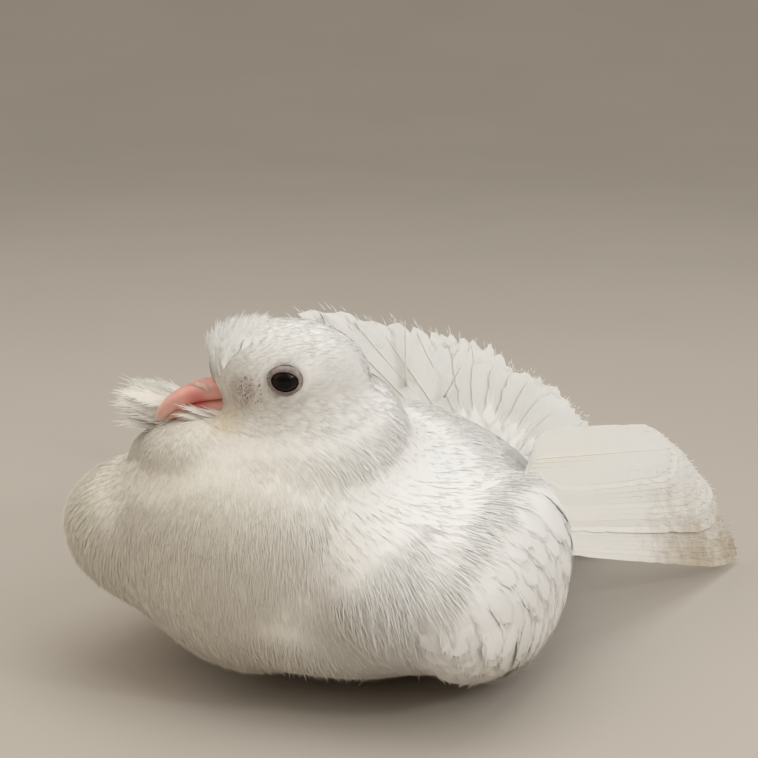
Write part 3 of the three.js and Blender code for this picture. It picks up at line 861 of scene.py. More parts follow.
    def mesh(self, name, softness=0.92):
        """One mesh of all feathers, its normals drawn by softness towards the way they are shaded to."""
        carried = {key: np.concatenate(values) for key, values in self.carried.items()}
        points, faces = carried["place"], np.concatenate(self.faces)
        points[:, 2] = np.maximum(points[:, 2], FEATHER_FLOOR)
        edges = points[faces]
        size = np.linalg.norm(np.cross(edges[:, 1] - edges[:, 0], edges[:, 2] - edges[:, 0]), axis=1)
        faces = faces[size > 1e-5]
        mesh = bpy.data.meshes.new(name)
        mesh.vertices.add(len(points))
        mesh.vertices.foreach_set("co", (points * MM).ravel())
        mesh.loops.add(faces.size)
        mesh.loops.foreach_set("vertex_index", faces.ravel())
        mesh.polygons.add(len(faces))
        mesh.polygons.foreach_set("loop_start", np.arange(0, faces.size, 3))
        mesh.update(calc_edges=True)
        for layer in ("Feather", "OFBake"):
            values = carried[layer][faces.ravel()].astype(np.float32)
            mesh.uv_layers.new(name=layer).data.foreach_set("uv", values.ravel())
        tone = mesh.attributes.new("tone", "FLOAT", "POINT")
        tone.data.foreach_set("value", carried["tone"].astype(np.float32).ravel())
        mesh.polygons.foreach_set("use_smooth", np.ones(len(faces), bool))
        own = np.empty(len(points) * 3)
        mesh.vertices.foreach_get("normal", own)
        blend = unit(own.reshape(-1, 3) * (1 - softness) + carried["shade"] * softness)
        mesh.normals_split_custom_set_from_vertices(blend.tolist())
        return linked(name, mesh)


def unwrapped(points, middle):
    """A small patch of the bake map for each point, by its direction from the middle of what it covers."""
    way = unit(points - np.asarray(middle, float))
    turn = np.arctan2(way[:, 0], -way[:, 1]) / (2 * math.pi) + 0.5
    rise = np.arccos(np.clip(way[:, 2], -1, 1)) / math.pi
    return np.stack((0.01 + 0.98 * turn, 0.01 + 0.98 * rise), 1), BAKE_PATCH


def strips(count):
    """Strips of the bake map, side by side and as long as the map, for feathers with markings along them."""
    return np.stack(((np.arange(count) + 0.5) / count, np.full(count, 0.5)), 1), (0.9 / count, 0.98)


made = {}


def skin_surface():
    if "surface" not in made:
        raise RuntimeError("the skin has to be made before its feathers")
    return made["surface"]


def thinning(sizes):
    """How much wider than modelled the small feathers stand apart."""
    return 1 / math.sqrt(sizes.density * (1.0))


def rising(steps, sink, lift, count, rng, vary=0.25):
    """Height of each feather's line over the skin, from sunk at its root to lifted at its tip."""
    t = np.linspace(0, 1, steps + 1)[None, :]
    top = lift * (1 + vary * rng.normal(size=(count, 1)))
    return -sink + (sink + np.maximum(top, 0.08)) * t ** 0.8


# Regions of the coat

def head_region(points):
    local = to_head(points)
    return np.linalg.norm(local / (15.5, 22.0, 16.0), axis=1) < 1.0


def eye_clear(points, margin):
    """False where a feather would grow on an eye or its lids."""
    local = to_head(points)
    clear = np.ones(len(points), bool)
    for _, side in SIDES:
        offset = (local - EYE_AT * (side, 1, 1)) / (6.0, 4.0 + margin, 3.4 + margin)
        clear &= np.linalg.norm(offset, axis=1) > 1
    return clear


def bill_clear(points):
    """False where a feather would grow on the bill or its cere."""
    x, y, z = to_head(points).T
    return ~((y < -14.5) & (np.abs(x) < 3.9) & (z > -8.0) & (z < -1.6))


class PIGEON_OT_stage(bpy.types.Operator):
    """Sets up the floor, the backdrop, the lights and the camera"""

    bl_idname = "pigeon.stage"
    bl_label = "Stage"

    def execute(self, context):
        stage = context.scene.pigeon_stage
        deselect_all()
        bpy.ops.mesh.primitive_grid_add(x_subdivisions=80, y_subdivisions=80, size=12.0, location=(0, 0, 0))
        floor = fresh("floor")
        points = read_points(floor)
        points[:, 2] = 2.4 * ease(np.hypot(points[:, 0], points[:, 1]), 1.2, 6.0)
        write_points(floor, points)
        smooth_shaded(floor)
        floor.data.materials.append(stage_material(stage.floor))
        self.lights(context)
        self.camera(context, stage)
        context.scene.view_settings.view_transform = "Standard"
        return {"FINISHED"}

    def lights(self, context):
        lamps = (
            ("window", (0.62, -0.10, 0.52), 0.55, 1.5, (0.92, 0.97, 1.0)),
            ("ceiling", (0.00, 0.05, 0.92), 0.80, 2.7, (0.93, 0.98, 1.0)),
            ("fill", (-0.48, -0.34, 0.52), 0.80, 1.3, (1.0, 0.92, 0.82)),
            ("glint", (0.69, -0.10, 0.41), 0.07, 0.7, (1.0, 1.0, 1.0)),
        )
        for name, at, size, power, colour in lamps:
            light = bpy.data.lights.new(name, "AREA")
            light.energy, light.size, light.color = power, size, colour
            lamp = bpy.data.objects.new(name, light)
            lamp.location = at
            lamp.rotation_mode = "QUATERNION"
            lamp.rotation_quaternion = (Vector((0, 0, 0.04)) - Vector(at)).to_track_quat("-Z", "Y")
            context.scene.collection.objects.link(lamp)
        world = bpy.data.worlds.new("room_light")
        world.use_nodes = True
        world.node_tree.nodes["Background"].inputs[0].default_value = (0.99, 0.93, 0.86, 1)
        world.node_tree.nodes["Background"].inputs[1].default_value = 0.50
        context.scene.world = world

    def camera(self, context, stage):
        back = Vector((
            math.sin(stage.turn) * math.cos(stage.height),
            -math.cos(stage.turn) * math.cos(stage.height),
            math.sin(stage.height),
        ))
        lens = bpy.data.cameras.new("camera")
        lens.sensor_width = 36
        lens.lens = 18 / math.tan(stage.view_angle / 2)
        lens.clip_start = 0.01
        camera = bpy.data.objects.new("camera", lens)
        camera.location = Vector(stage.look_at) + back * stage.distance
        camera.rotation_mode = "QUATERNION"
        camera.rotation_quaternion = (-back).to_track_quat("-Z", "Y")
        context.scene.collection.objects.link(camera)
        context.scene.camera = camera


class PIGEON_OT_skin(bpy.types.Operator):
    """Makes one skin of trunk, neck, head, wing arms and tail root, and rests it on the floor"""

    bl_idname = "pigeon.skin"
    bl_label = "Skin"

    def execute(self, context):
        sizes = context.scene.pigeon_sizes
        body, head = sizes.body_coat / MM, sizes.head_coat / MM
        deselect_all()
        forms = [("trunk", TRUNK, body), ("collar", COLLAR, body * 0.8)]
        forms += [(f"arm_{name}", arm_form(side), body) for name, side in SIDES]
        forms += [(f"mantle_{name}", mantle_form(side), body) for name, side in SIDES]
        forms += [("throat", THROAT, body), ("chin", CHIN, body), ("shoulder", SHOULDER, body)]
        forms += [("rump", RUMP, body), ("vent", VENT, body * 0.7)]
        lumps = [self.lump(*each) for each in forms]
        skull = self.lump("skull", SKULL, head)
        write_points(skull, from_head(read_points(skull) / MM) * MM)
        skin = joined(lumps + [skull], "skin")
        finish_with(skin, "REMESH", mode="VOXEL", voxel_size=sizes.skin_grain)
        finish_with(skin, "SMOOTH", factor=0.5, iterations=14)
        self.fill_creases(skin)
        self.press_on_floor(skin)
        write_points(skin, self.sculpted(read_points(skin) / MM) * MM)
        smooth_shaded(skin)
        placed(skin, "plumage", skin_material(context.scene.pigeon_colours), *FLESH_NODES)
        made["surface"] = Surface(skin)
        return {"FINISHED"}

    def lump(self, name, form, depth):
        ob = ball(name, 64, 40)
        write_points(ob, form_points(form, read_points(ob), depth) * MM)
        return ob

    def fill_creases(self, skin):
        """Raises the creases between the forms, as flesh and down do, and leaves what is round as it is."""
        for _ in range(6):
            sharp = read_points(skin)
            out = np.empty(sharp.size)
            skin.data.vertices.foreach_get("normal", out)
            finish_with(skin, "SMOOTH", factor=0.5, iterations=110)
            out = out.reshape(-1, 3)
            rise = np.clip(np.sum((read_points(skin) - sharp) * out, axis=1), 0, DEEPEST_FILL * MM)
            write_points(skin, sharp + out * rise[:, None])
            finish_with(skin, "SMOOTH", factor=0.5, iterations=4)

    def press_on_floor(self, skin):
        only(skin)
        bpy.ops.object.mode_set(mode="EDIT")
        bpy.ops.mesh.select_all(action="SELECT")
        bpy.ops.mesh.bisect(
            plane_co=(0, 0, SKIN_FLOOR * MM), plane_no=(0, 0, 1), use_fill=True, clear_inner=True)
        bpy.ops.object.mode_set(mode="OBJECT")

    def sculpted(self, points):
        """Presses the sockets in and rounds the brow over them."""
        local = to_head(points)
        for _, side in SIDES:
            offset = local - EYE_AT * (side, 1, 1)
            near = np.linalg.norm(offset[:, 1:] / (1.15, 1.0), axis=1)
            outer = (local[:, 0] * side > 6) & (np.linalg.norm(local, axis=1) < 24)
            socket = np.exp(-(near / 3.6) ** 4) * outer
            brow = np.exp(-((near - 4.3) / 1.3) ** 2) * outer
            local[:, 0] += side * (0.5 * brow - 0.3 * socket)
        return from_head(local)


class PIGEON_OT_coat(bpy.types.Operator):
    """Covers neck, breast, flanks, back and rump with soft overlapping feathers"""

    bl_idname = "pigeon.coat"
    bl_label = "Body coat"

    def execute(self, context):
        sizes = context.scene.pigeon_sizes
        surface = skin_surface()
        rng = np.random.default_rng(11)
        full = sizes.body_feather / MM
        thin = thinning(sizes)

        def feather_length(points):
            far = np.linalg.norm(to_head(points) - BILL_BASE, axis=1)
            return np.interp(far, (12, 24, 36, 55, 90), (3.6, 5.2, 8.0, 0.9 * full, full))

        def spacing(points):
            return feather_length(points) ** 0.7 * 0.32 * thin

        roots, normals = surface.scattered(spacing, rng)
        free = ~head_region(roots) & (roots[:, 2] > 1.0) & bill_clear(roots)
        free &= wing_share(roots) < 0.35 + 0.3 * rng.random(len(roots))
        roots, normals = roots[free], normals[free]
        material = plumage_material("body_plumage", context.scene.pigeon_colours)
        near_head = np.linalg.norm(to_head(roots), axis=1) < NECK_REACH
        back = ~near_head & (roots[:, 1] > BACK_FROM_Y)
        flank = ~near_head & ~back & (np.abs(roots[:, 0]) > FLANK_FROM_X)
        breast = ~near_head & ~back & ~flank
        left = roots[:, 0] >= 0
        for name, mine in (
            ("neck_left", near_head & (roots[:, 0] > 2)), ("neck_right", near_head & (roots[:, 0] <= 2)),
            ("breast_left", breast & left), ("breast_right", breast & ~left),
            ("flank_left", flank & left), ("flank_right", flank & ~left),
            ("back_left", back & left), ("back_right", back & ~left),
        ):
            coat = Coat("silky", 3, 1, 13, reach=0.5, first=0.1, cup=0.02, loose=0.008, flare=0.3)
            self.grow(coat, surface, roots[mine], normals[mine], feather_length(roots[mine]), rng)
            placed(coat.mesh(f"coat_{name}"), "plumage", material)
        return {"FINISHED"}

    def grow(self, coat, surface, roots, normals, length, rng):
        count = len(roots)
        length = length * (1 + 0.13 * rng.normal(size=count))
        follow = np.clip(0.9 - 0.5 * ease(-roots[:, 2], -16, -2), 0.3, 1)

        def lie(points):
            return lie_of_coat(points) + 0.09 * stir(points, 14.0, 3) + 0.04 * stir(points, 4.0, 4)

        lines = walk(surface, roots, normals, length, 4, lie, follow)
        fluff = 1 + 0.25 * stir(roots, 14.0, 5)[:, :1]
        height = rising(4, 0.2, 0.1, count, rng) * (length[:, None] / 9) * fluff
        coat.add(lines, length * 0.3, rng, unwrapped(roots, (0, 5, 22)), height)


class PIGEON_OT_wing_coverts(bpy.types.Operator):
    """Lays the coverts of both folded wings in staggered rows"""

    bl_idname = "pigeon.wing_coverts"
    bl_label = "Wing coverts"

    def execute(self, context):
        sizes = context.scene.pigeon_sizes
        surface = skin_surface()
        material = plumage_material("covert_plumage", context.scene.pigeon_colours, streaks=12.0, relief=0.2)
        for name, side in SIDES:
            rng = np.random.default_rng(21 + side)
            roots, normals = self.rooted(surface, side, rng)
            count = len(roots)
            shift = ease(roots[:, 1], -44, 20)
            length = sizes.covert_feather / MM * (0.8 + 0.5 * shift) * (1 + 0.06 * rng.normal(size=count))
            follow = np.clip(0.9 - 0.5 * ease(roots[:, 1], 0, 24), 0.2, 1)
            lines = walk(surface, roots, normals, length, 7, self.lie, follow)
            height = rising(7, 0.5, 0.4, count, rng)
            coat = Coat("covert", 7, 2, 36, reach=0.2, first=0.25, cup=0.06, flare=0.3, loose=0.01)
            coat.add(lines, length * 0.42, rng, unwrapped(roots, (40 * side, 0, 28)), height, ragged=0.15)
            placed(coat.mesh(f"coat_wing_{name}"), "plumage", material)
        return {"FINISHED"}

    @staticmethod
    def lie(points):
        return lie_of_coat(points) + 0.07 * stir(points, 16.0, 6)

    def rooted(self, surface, side, rng):
        """Roots in staggered rows across the wing, found by rays from the side."""
        roots, faces = [], []
        for row in range(22):
            for step in range(20):
                along = -60 + 4.6 * row + 0.6 * rng.normal()
                across = -44 + 4.8 * (step + 0.5 * (row % 2)) + 0.6 * rng.normal()
                y = -6 + 0.62 * along + 0.78 * across
                z = 30 - 0.78 * along + 0.62 * across
                at, _, face, _ = surface.tree.ray_cast(Vector((110 * side, y, z)), Vector((-side, 0, 0)))
                if at is not None:
                    roots.append(at)
                    faces.append(face)
        roots = np.array(roots)
        mine = (wing_share(roots) > 0.22) & (roots[:, 2] > 13)
        return roots[mine], surface.normals_on(roots[mine], np.array(faces)[mine])


class PIGEON_OT_skirt(bpy.types.Operator):
    """Hangs three rows of flank feathers from under the wing coverts towards the floor"""

    bl_idname = "pigeon.skirt"
    bl_label = "Flank feathers"

    FEATHERS = 13
    # Height of the left wing's lower rim, by its place from front to rear
    RIM = ((-50, -43, -28, -16, -8, 0, 8, 18), (18, 15.5, 10.5, 7.6, 8, 9.5, 11.5, 15))
    RIGHT_RISE = 7

    def execute(self, context):
        surface = skin_surface()
        material = plumage_material("flank_plumage", context.scene.pigeon_colours, streaks=12.0, relief=0.2)
        for name, side in SIDES:
            rng = np.random.default_rng(81)
            coat = Coat("covert", 9, 2, 36, reach=0.16, flare=0.25, loose=0.01)
            for shift, level, tip in ((0.0, 22, 0.0), (0.5, 27, 2.0), (0.0, 32, 5.0)):
                self.row(coat, surface, side, shift, level, tip, rng)
            placed(coat.mesh(f"coat_skirt_{name}"), "plumage", material)
        return {"FINISHED"}

    def row(self, coat, surface, side, shift, level, tip, rng):
        """One row round the wing's lower rim, from its front to its rear.

        level is the height of its roots, tip that of its ends over the RIM, shift a share of a feather."""
        turn = -68 + 9.5 * (np.arange(self.FEATHERS) + shift) + 1.4 * rng.normal(size=self.FEATHERS)
        turn = np.radians(turn)
        ahead = np.stack((np.cos(turn) * side, np.sin(turn), np.zeros(self.FEATHERS)), 1)
        roots, faces = [], []
        for way, z in zip(ahead, level + 0.7 * rng.normal(size=self.FEATHERS)):
            start = np.array((32.0 * side, -10.0, z)) + 120 * way
            at, _, face, _ = surface.tree.ray_cast(Vector(start), Vector(-way))
            if at is None:
                raise RuntimeError("a flank feather's root misses the skin")
            roots.append(at)
            faces.append(face)
        roots = np.array(roots)
        normals = surface.normals_on(roots, np.array(faces))
        drawn_up = 0 if side > 0 else self.RIGHT_RISE
        end = tip + np.interp(roots[:, 1], *self.RIM) + drawn_up + 0.7 * rng.normal(size=self.FEATHERS)
        length = np.maximum(roots[:, 2] - end, 3.0) * 1.03

        def lie(points):
            return np.tile((0.0, 0.16, -1.0), (len(points), 1))

        lines = walk(surface, roots - normals * 0.5, normals, length, 8, lie, 0.3)
        height = rising(8, 1.0, 0.3, self.FEATHERS, rng)
        width = 8.0 + 0.6 * rng.normal(size=self.FEATHERS)
        coat.add(lines, width, rng, unwrapped(roots, (0, 5, 22)), height, ragged=0.2)


class PIGEON_OT_head_coat(bpy.types.Operator):
    """Covers the head with short close feathers, thin on the lores and clear of eyes and bill"""

    bl_idname = "pigeon.head_coat"
    bl_label = "Head coat"

    def execute(self, context):
        sizes = context.scene.pigeon_sizes
        surface = skin_surface()
        rng = np.random.default_rng(31)
        thin = thinning(sizes)

        def feather_length(points):
            far = np.linalg.norm(to_head(points) - BILL_BASE, axis=1)
            return np.interp(far, (4, 12, 22, 34), (1.5, 2.6, 3.9, 6.0))

        roots, normals = surface.scattered(lambda points: feather_length(points) * 0.2 * thin, rng)
        local = to_head(roots)
        lore = np.minimum(*(np.linalg.norm(local - LORE_AT * (side, 1, 1), axis=1) for _, side in SIDES))
        free = head_region(roots) & eye_clear(roots, -0.35) & bill_clear(roots)
        free &= rng.random(len(roots)) < 0.35 + 0.65 * ease(lore, 2.2, 5.0)
        roots, normals, lore = roots[free], normals[free], lore[free]
        covered = ease(lore, 2.0, 6.0)
        length = feather_length(roots) * (0.6 + 0.4 * covered) * (1 + 0.12 * rng.normal(size=len(roots)))

        def lie(points):
            return lie_of_coat(points) + 0.12 * stir(points, 5.0, 8)

        lines = walk(surface, roots, normals, length, 3, lie, 0.95)
        height = rising(3, 0.15, 0.14, len(roots), rng) * (0.5 + 0.5 * covered)[:, None]
        coat = Coat("silky", 3, 1, 9, reach=0.44, blade=0.15, first=0.15, cup=0.03, loose=0.015)
        coat.add(lines, length * 0.34, rng, unwrapped(roots, HEAD_AT), height)
        material = plumage_material("head_plumage", context.scene.pigeon_colours, streaks=7.0, relief=0.15)
        placed(coat.mesh("coat_head", softness=0.97), "plumage", material)
        return {"FINISHED"}


def straight_tracks(roots, ways, faces, length, steps, droop):
    """Lines of free feathers: from each root along its way, drooping away from its face."""
    t = np.linspace(0, 1, steps + 1)[None, :, None]
    along = unit(ways)
    up = flat_to(faces, along)
    fall = np.broadcast_to(droop, len(roots))[:, None, None]
    track = roots[:, None] + along[:, None] * (length[:, None, None] * t) - up[:, None] * (fall * t ** 2)
    slope = unit(along[:, None] * length[:, None, None] - up[:, None] * (2 * fall * t))
    ups = flat_to(np.broadcast_to(up[:, None], slope.shape), slope)
    return track, ups, slope


class PIGEON_OT_tufts(bpy.types.Operator):
    """Adds the forehead's crest, the ruff behind the bill, the chin tuft and the bristles of the lores"""

    bl_idname = "pigeon.tufts"
    bl_label = "Crest and ruff"

    def execute(self, context):
        rng = np.random.default_rng(41)
        material = plumage_material("tuft_plumage", context.scene.pigeon_colours)
        for name, grow, coat in (
            ("crest", self.crest, Coat("silky", 4, 1, 18, blade=0.14, first=0.1, flare=0.2)),
            ("ruff", self.ruff, Coat("silky", 6, 1, 30, reach=0.2, first=0.2, flare=0.5)),
            ("chin_tuft", self.chin, Coat("silky", 5, 1, 16, blade=0.15, first=0.2, flare=0.25)),
        ):
            grow(coat, rng)
            placed(coat.mesh(name), "plumage", material)
        self.bristles(rng)
        return {"FINISHED"}

    def on_head(self, coat, rng, roots, ways, face, length, width, droop, share, light):
        """Feathers given in the head's own frame, shaded towards light and by a share of their face."""
        roots, ways, face = from_head(roots), ways @ HEAD_TURN.T, face @ HEAD_TURN.T
        lines = straight_tracks(roots, ways, face, length, 5, droop)
        coat.add(lines, width, rng, unwrapped(roots, HEAD_AT), shade=light + face * share,
                 back=light - face * share)

    def crest(self, coat, rng):
        """Feathers that stand up along the forehead and lie back over the crown."""
        count = 300
        slope = rng.uniform(-0.05, 1, count) * (1 - 0.1 * rng.random(count))
        side = rng.uniform(-1, 1, count)
        turn = np.radians(66 * slope)
        narrow = 1 - 0.14 * side ** 2
        roots = np.stack((8.3 * side, -15.6 * np.cos(turn) * narrow, 11.4 * np.sin(turn) * narrow), 1)
        ways = np.stack((0.12 * side, -0.12 + 1.5 * np.maximum(slope, 0) ** 1.3, np.ones(count)), 1)
        ways += 0.05 * rng.normal(size=(count, 3))
        length = (7.4 - 3.6 * slope + 0.7 * rng.normal(size=count)) * (1 - 0.45 * side ** 4)
        outward = np.sign(side) * (0.6 + 0.4 * np.abs(side))
        face = np.stack((outward, -0.3 * np.cos(turn), 0.3 * np.sin(turn)), 1)
        self.on_head(coat, rng, roots, ways, face, length, 1.7, 0.3, 0.4, np.array((0.2, -0.2, 0.6)))

    def ruff(self, coat, rng):
        """Feathers that stand out from the far side of the throat, behind the bill."""
        count = 76
        f = rng.random(count)
        roots = np.stack((-17 - 12 * f, -43 + 20 * f, 65.2 - 2.5 * f + rng.uniform(-2.0, 2.2, count)), 1)
        way = np.stack((np.full(count, -0.86), -0.46 + 0.14 * rng.normal(size=count),
                        0.13 + 0.11 * rng.normal(size=count)), 1)
        length = 12 + 3.5 * rng.random(count)
        face = np.tile((0.1, -0.9, 0.4), (count, 1)) + 0.15 * rng.normal(size=(count, 3))
        lines = straight_tracks(roots, way, face, length, 6, 1.0)
        coat.add(lines, 3.8, rng, unwrapped(roots, HEAD_AT), shade=(0.3, -0.4, 0.8), back=(-0.1, 0.6, 0.6))

    def chin(self, coat, rng):
        """Feathers that run forward under both edges of the bill."""
        count = 80
        f = rng.random(count)
        side = np.where(rng.random(count) < 0.6, 1.0, -1.0)
        roots = np.stack((side * (4.4 - 1.6 * f), -10.0 - 7.0 * rng.random(count), -8.9 - 2.0 * f), 1)
        ways = np.stack((-0.1 * side, np.full(count, -1.0), 0.24 - 0.3 * f), 1)
        ways += 0.1 * rng.normal(size=(count, 3))
        length = 5.5 + 3.0 * rng.random(count)
        face = np.stack((side, np.zeros(count), np.full(count, 0.5)), 1)
        light = np.array((0.1, -0.2, 0.5))
        self.on_head(coat, rng, roots, ways, face, length, 1.5, 0.12 * length, 0.6, light)

    def bristles(self, rng):
        """Fine dark bristles on the bare skin before each eye."""
        coat = Coat("silky", 2, 1, 0)
        count = 130
        side = np.where(np.arange(count) % 2 == 0, 1.0, -1.0)
        spot = LORE_AT + (0, 0.5, -0.2) + np.clip(rng.normal(size=(count, 3)), -1.6, 1.6) * (0, 2.0, 2.1)
        local = np.stack((side * 14, spot[:, 1], spot[:, 2]), 1)
        near, up = skin_surface().nearest(from_head(local))
        ways = flat_to(np.array((0.3, 0.3, 0.75)) + 0.6 * rng.normal(size=(count, 3)), up)
        lines = straight_tracks(near + up * 0.6, ways, up, 0.3 + 1.0 * rng.random(count) ** 2, 2, 0.1)
        coat.add(lines, 0.1 + 0.12 * rng.random(count), rng, unwrapped(near, HEAD_AT))
        placed(coat.mesh("lore_bristles"), "plumage", bristle_material())


def shaft_bars(name, lines, radius, sides=6):
    """Shafts along the lines: thin tapering rods, as one mesh."""
    track, ups = lines[:2]
    count, steps = track.shape[:2]
    across = unit(np.cross(unit(np.gradient(track, axis=1)), ups))
    angle = np.arange(sides) / sides * 2 * math.pi
    taper = radius * np.linspace(1, 0.25, steps)
    ring = (across[:, :, None] * np.cos(angle)[None, None, :, None]
            + ups[:, :, None] * np.sin(angle)[None, None, :, None])
    points = (track[:, :, None] + ring * taper[None, :, None, None]).reshape(count, -1, 3)
    points = np.concatenate((points, track[:, :1], track[:, -1:]), 1)
    root, tip = steps * sides, steps * sides + 1
    faces = []
    for k in range(sides):
        after = (k + 1) % sides
        for start in range(0, root - sides, sides):
            a, b = start + k, start + after
            faces += [(a, b, b + sides), (a, b + sides, a + sides)]
        faces += [(root, after, k), (tip, root - sides + k, root - sides + after)]
    index = np.arange(count)[:, None, None] * points.shape[1] + np.array(faces)[None]
    mesh = bpy.data.meshes.new(name)
    mesh.from_pydata((points.reshape(-1, 3) * MM).tolist(), [], index.reshape(-1, 3).tolist())
    mesh.update()
    ob = linked(name, mesh)
    facing_out(ob)
    smooth_shaded(ob)
    return ob


class PIGEON_OT_flight(bpy.types.Operator):
    """Builds the folded flight feathers of both wings, each a curved vane with its shaft"""

    bl_idname = "pigeon.flight"
    bl_label = "Flight feathers"

    PRIMARIES_FROM = 0.615  # of the way down from the uppermost feather
    TILT = math.radians(24)
    # Dirt on the left wing, in millimetres: its middle, how far it spreads and how strong it is. The last
    # spot, low by the floor, is partly dirt and partly painted shade.
    SOIL_AND_SHADE = (((62, 106, 4), 26, 0.75), ((60, 84, 9), 14, 0.35), ((58, 74, 2), 46, 0.7))

    def execute(self, context):
        colours = context.scene.pigeon_colours
        many = context.scene.pigeon_sizes.flight_feathers
        for name, side in SIDES:
            soil_and_shade = [(np.array(at) * (side, 1, 1), reach, share) for at, reach, share in self.SOIL_AND_SHADE]
            material = flight_material(f"flight_vane_{name}", colours, soil_and_shade)
            rng = np.random.default_rng(51)
            lines, width = self.folded(many, side, rng)
            coat = Coat("folded", 26, 3, 40, reach=0.03, blade=0.25, first=0.5, cup=0.02, flare=0.15)
            coat.add(lines, width, rng, strips(many), ragged=0.06, shade=(0.9 * side, -0.1, 0.35),
                     back=(-0.8 * side, 0.2, 0.3))
            vanes = coat.mesh(f"flight_feathers_{name}", softness=0.75)
            placed(vanes, "flight_feathers", material, f"wing_{name}_secondaries", f"wing_{name}_primaries")
            placed(shaft_bars(f"flight_shafts_{name}", lines, 0.15), "flight_feathers", shaft_material())
        return {"FINISHED"}

    def folded(self, many, side, rng):
        """Lines and widths of one wing's feathers, which lie on each other like slates."""
        f = np.linspace(0, 1, many)
        late = ease(f, self.PRIMARIES_FROM, 1.0)
        root_z = 49.5 - 12.5 * f
        tip_z = 37 - 34 * f
        roots = np.stack((46 + (49.5 - root_z) * 0.40, 18 - 18 * f, root_z), 1)
        tips = np.stack((
            50 + (37 - tip_z) * 0.37 - 0.6 * (f > self.PRIMARIES_FROM),
            83 + 19 * np.sin(math.pi / 2 * np.minimum(1, f * 1.6)) + 5.5 * late,
            tip_z,
        ), 1)
        tips[:, 1] += 0.5 * rng.normal(size=many)
        roots -= unit(tips - roots) * (10 + 5 * f)[:, None]
        mirror = np.array((side, 1, 1))
        way = (tips - roots) * mirror
        face = np.tile((math.cos(self.TILT) * side, 0, math.sin(self.TILT)), (many, 1))
        lines = straight_tracks(roots * mirror, way, face, np.linalg.norm(way, axis=1), 12, -1.5)
        return lines, np.where(f < self.PRIMARIES_FROM, 15, 14 - 3 * late)


FAN_ROOT = np.array((-4.0, 84.0, 19.0))
# How far the fan reaches from its root, by angle to the left of upright
FAN_REACH = (
    (-72, -58, -55, -52, -49, -42, -31, -25, -16, -10, -5, -1, 6, 9, 22, 39, 55, 78),
    (77, 79, 81, 77, 66, 58, 49.5, 46.5, 44, 41.5, 39, 36.5, 33, 36.5, 36.5, 36, 39, 36),
)
FAN_TILT = math.radians(3)
# Two shafts that have lost their barbs, in front of the worn feathers: x and z of root and tip
BARE_SHAFTS = (((-31.6, 45.3), (-31.7, 65.0)), ((-18.9, 43.4), (-12.8, 54.0)))


class PIGEON_OT_fan(bpy.types.Operator):
    """Builds the raised tail fan, whole on the right and worn short on the left"""

    bl_idname = "pigeon.fan"
    bl_label = "Tail fan"

    def execute(self, context):
        colours = context.scene.pigeon_colours
        many = context.scene.pigeon_sizes.fan_feathers
        rng = np.random.default_rng(61)
        angle = np.radians(np.linspace(-72, 78, many))
        length = np.interp(np.degrees(angle), *FAN_REACH) + 0.6 * rng.normal(size=many)
        whole = ease(length, 46, 70)
        out = np.stack((np.sin(angle), 0.05 * np.cos(angle), np.cos(angle)), 1)
        face = np.stack((np.cos(angle) * math.sin(FAN_TILT), np.full(many, -math.cos(FAN_TILT)),
                         -np.sin(angle) * math.sin(FAN_TILT)), 1)
        roots = FAN_ROOT + out * 3
        roots[:, 1] += 0.25 * (np.arange(many) % 2)
        lines = straight_tracks(roots, out, face, length - 3, 12, -3 * whole)
        worn = whole < 0.5
        material = flight_material("tail_vane", colours, ())
        whole_coat = Coat("flight", 24, 3, 60, reach=0.04, blade=0.25, first=0.2, cup=0.02)
        worn_coat = Coat("broken", 18, 4, 80, reach=0.035, blade=0.22, cup=0.02, loose=0.01)
        for coat, mine, name, node in (
            (whole_coat, ~worn, "tail_fan_whole", "tail_fan_right"),
            (worn_coat, worn, "tail_fan_worn", "tail_fan_left"),
        ):
            cut = np.where(worn[mine], 1 - 0.05 * rng.random(mine.sum()), 1.0)
            coat.add([values[mine] for values in lines], 14 + 3 * whole[mine], rng, strips(mine.sum()),
                     ragged=0.12, cut=cut, shade=(0.45, -0.35, 0.8), back=(0.1, 0.62, 0.6))
            placed(coat.mesh(name, softness=0.75), "flight_feathers", material, node)
        shafts = [shaft_bars("tail_shafts", lines, 0.22)]
        t = np.linspace(0, 1, 8)[:, None]
        for low, high in BARE_SHAFTS:
            line = np.array((low[0], 84.2, low[1])) * (1 - t) + np.array((high[0], 83.6, high[1])) * t
            shafts.append(shaft_bars("bare_shaft", (line[None], np.tile((0.0, -1.0, 0.0), (1, 8, 1))), 0.42))
        placed(joined(shafts, "tail_shafts"), "flight_feathers", shaft_material())
        return {"FINISHED"}


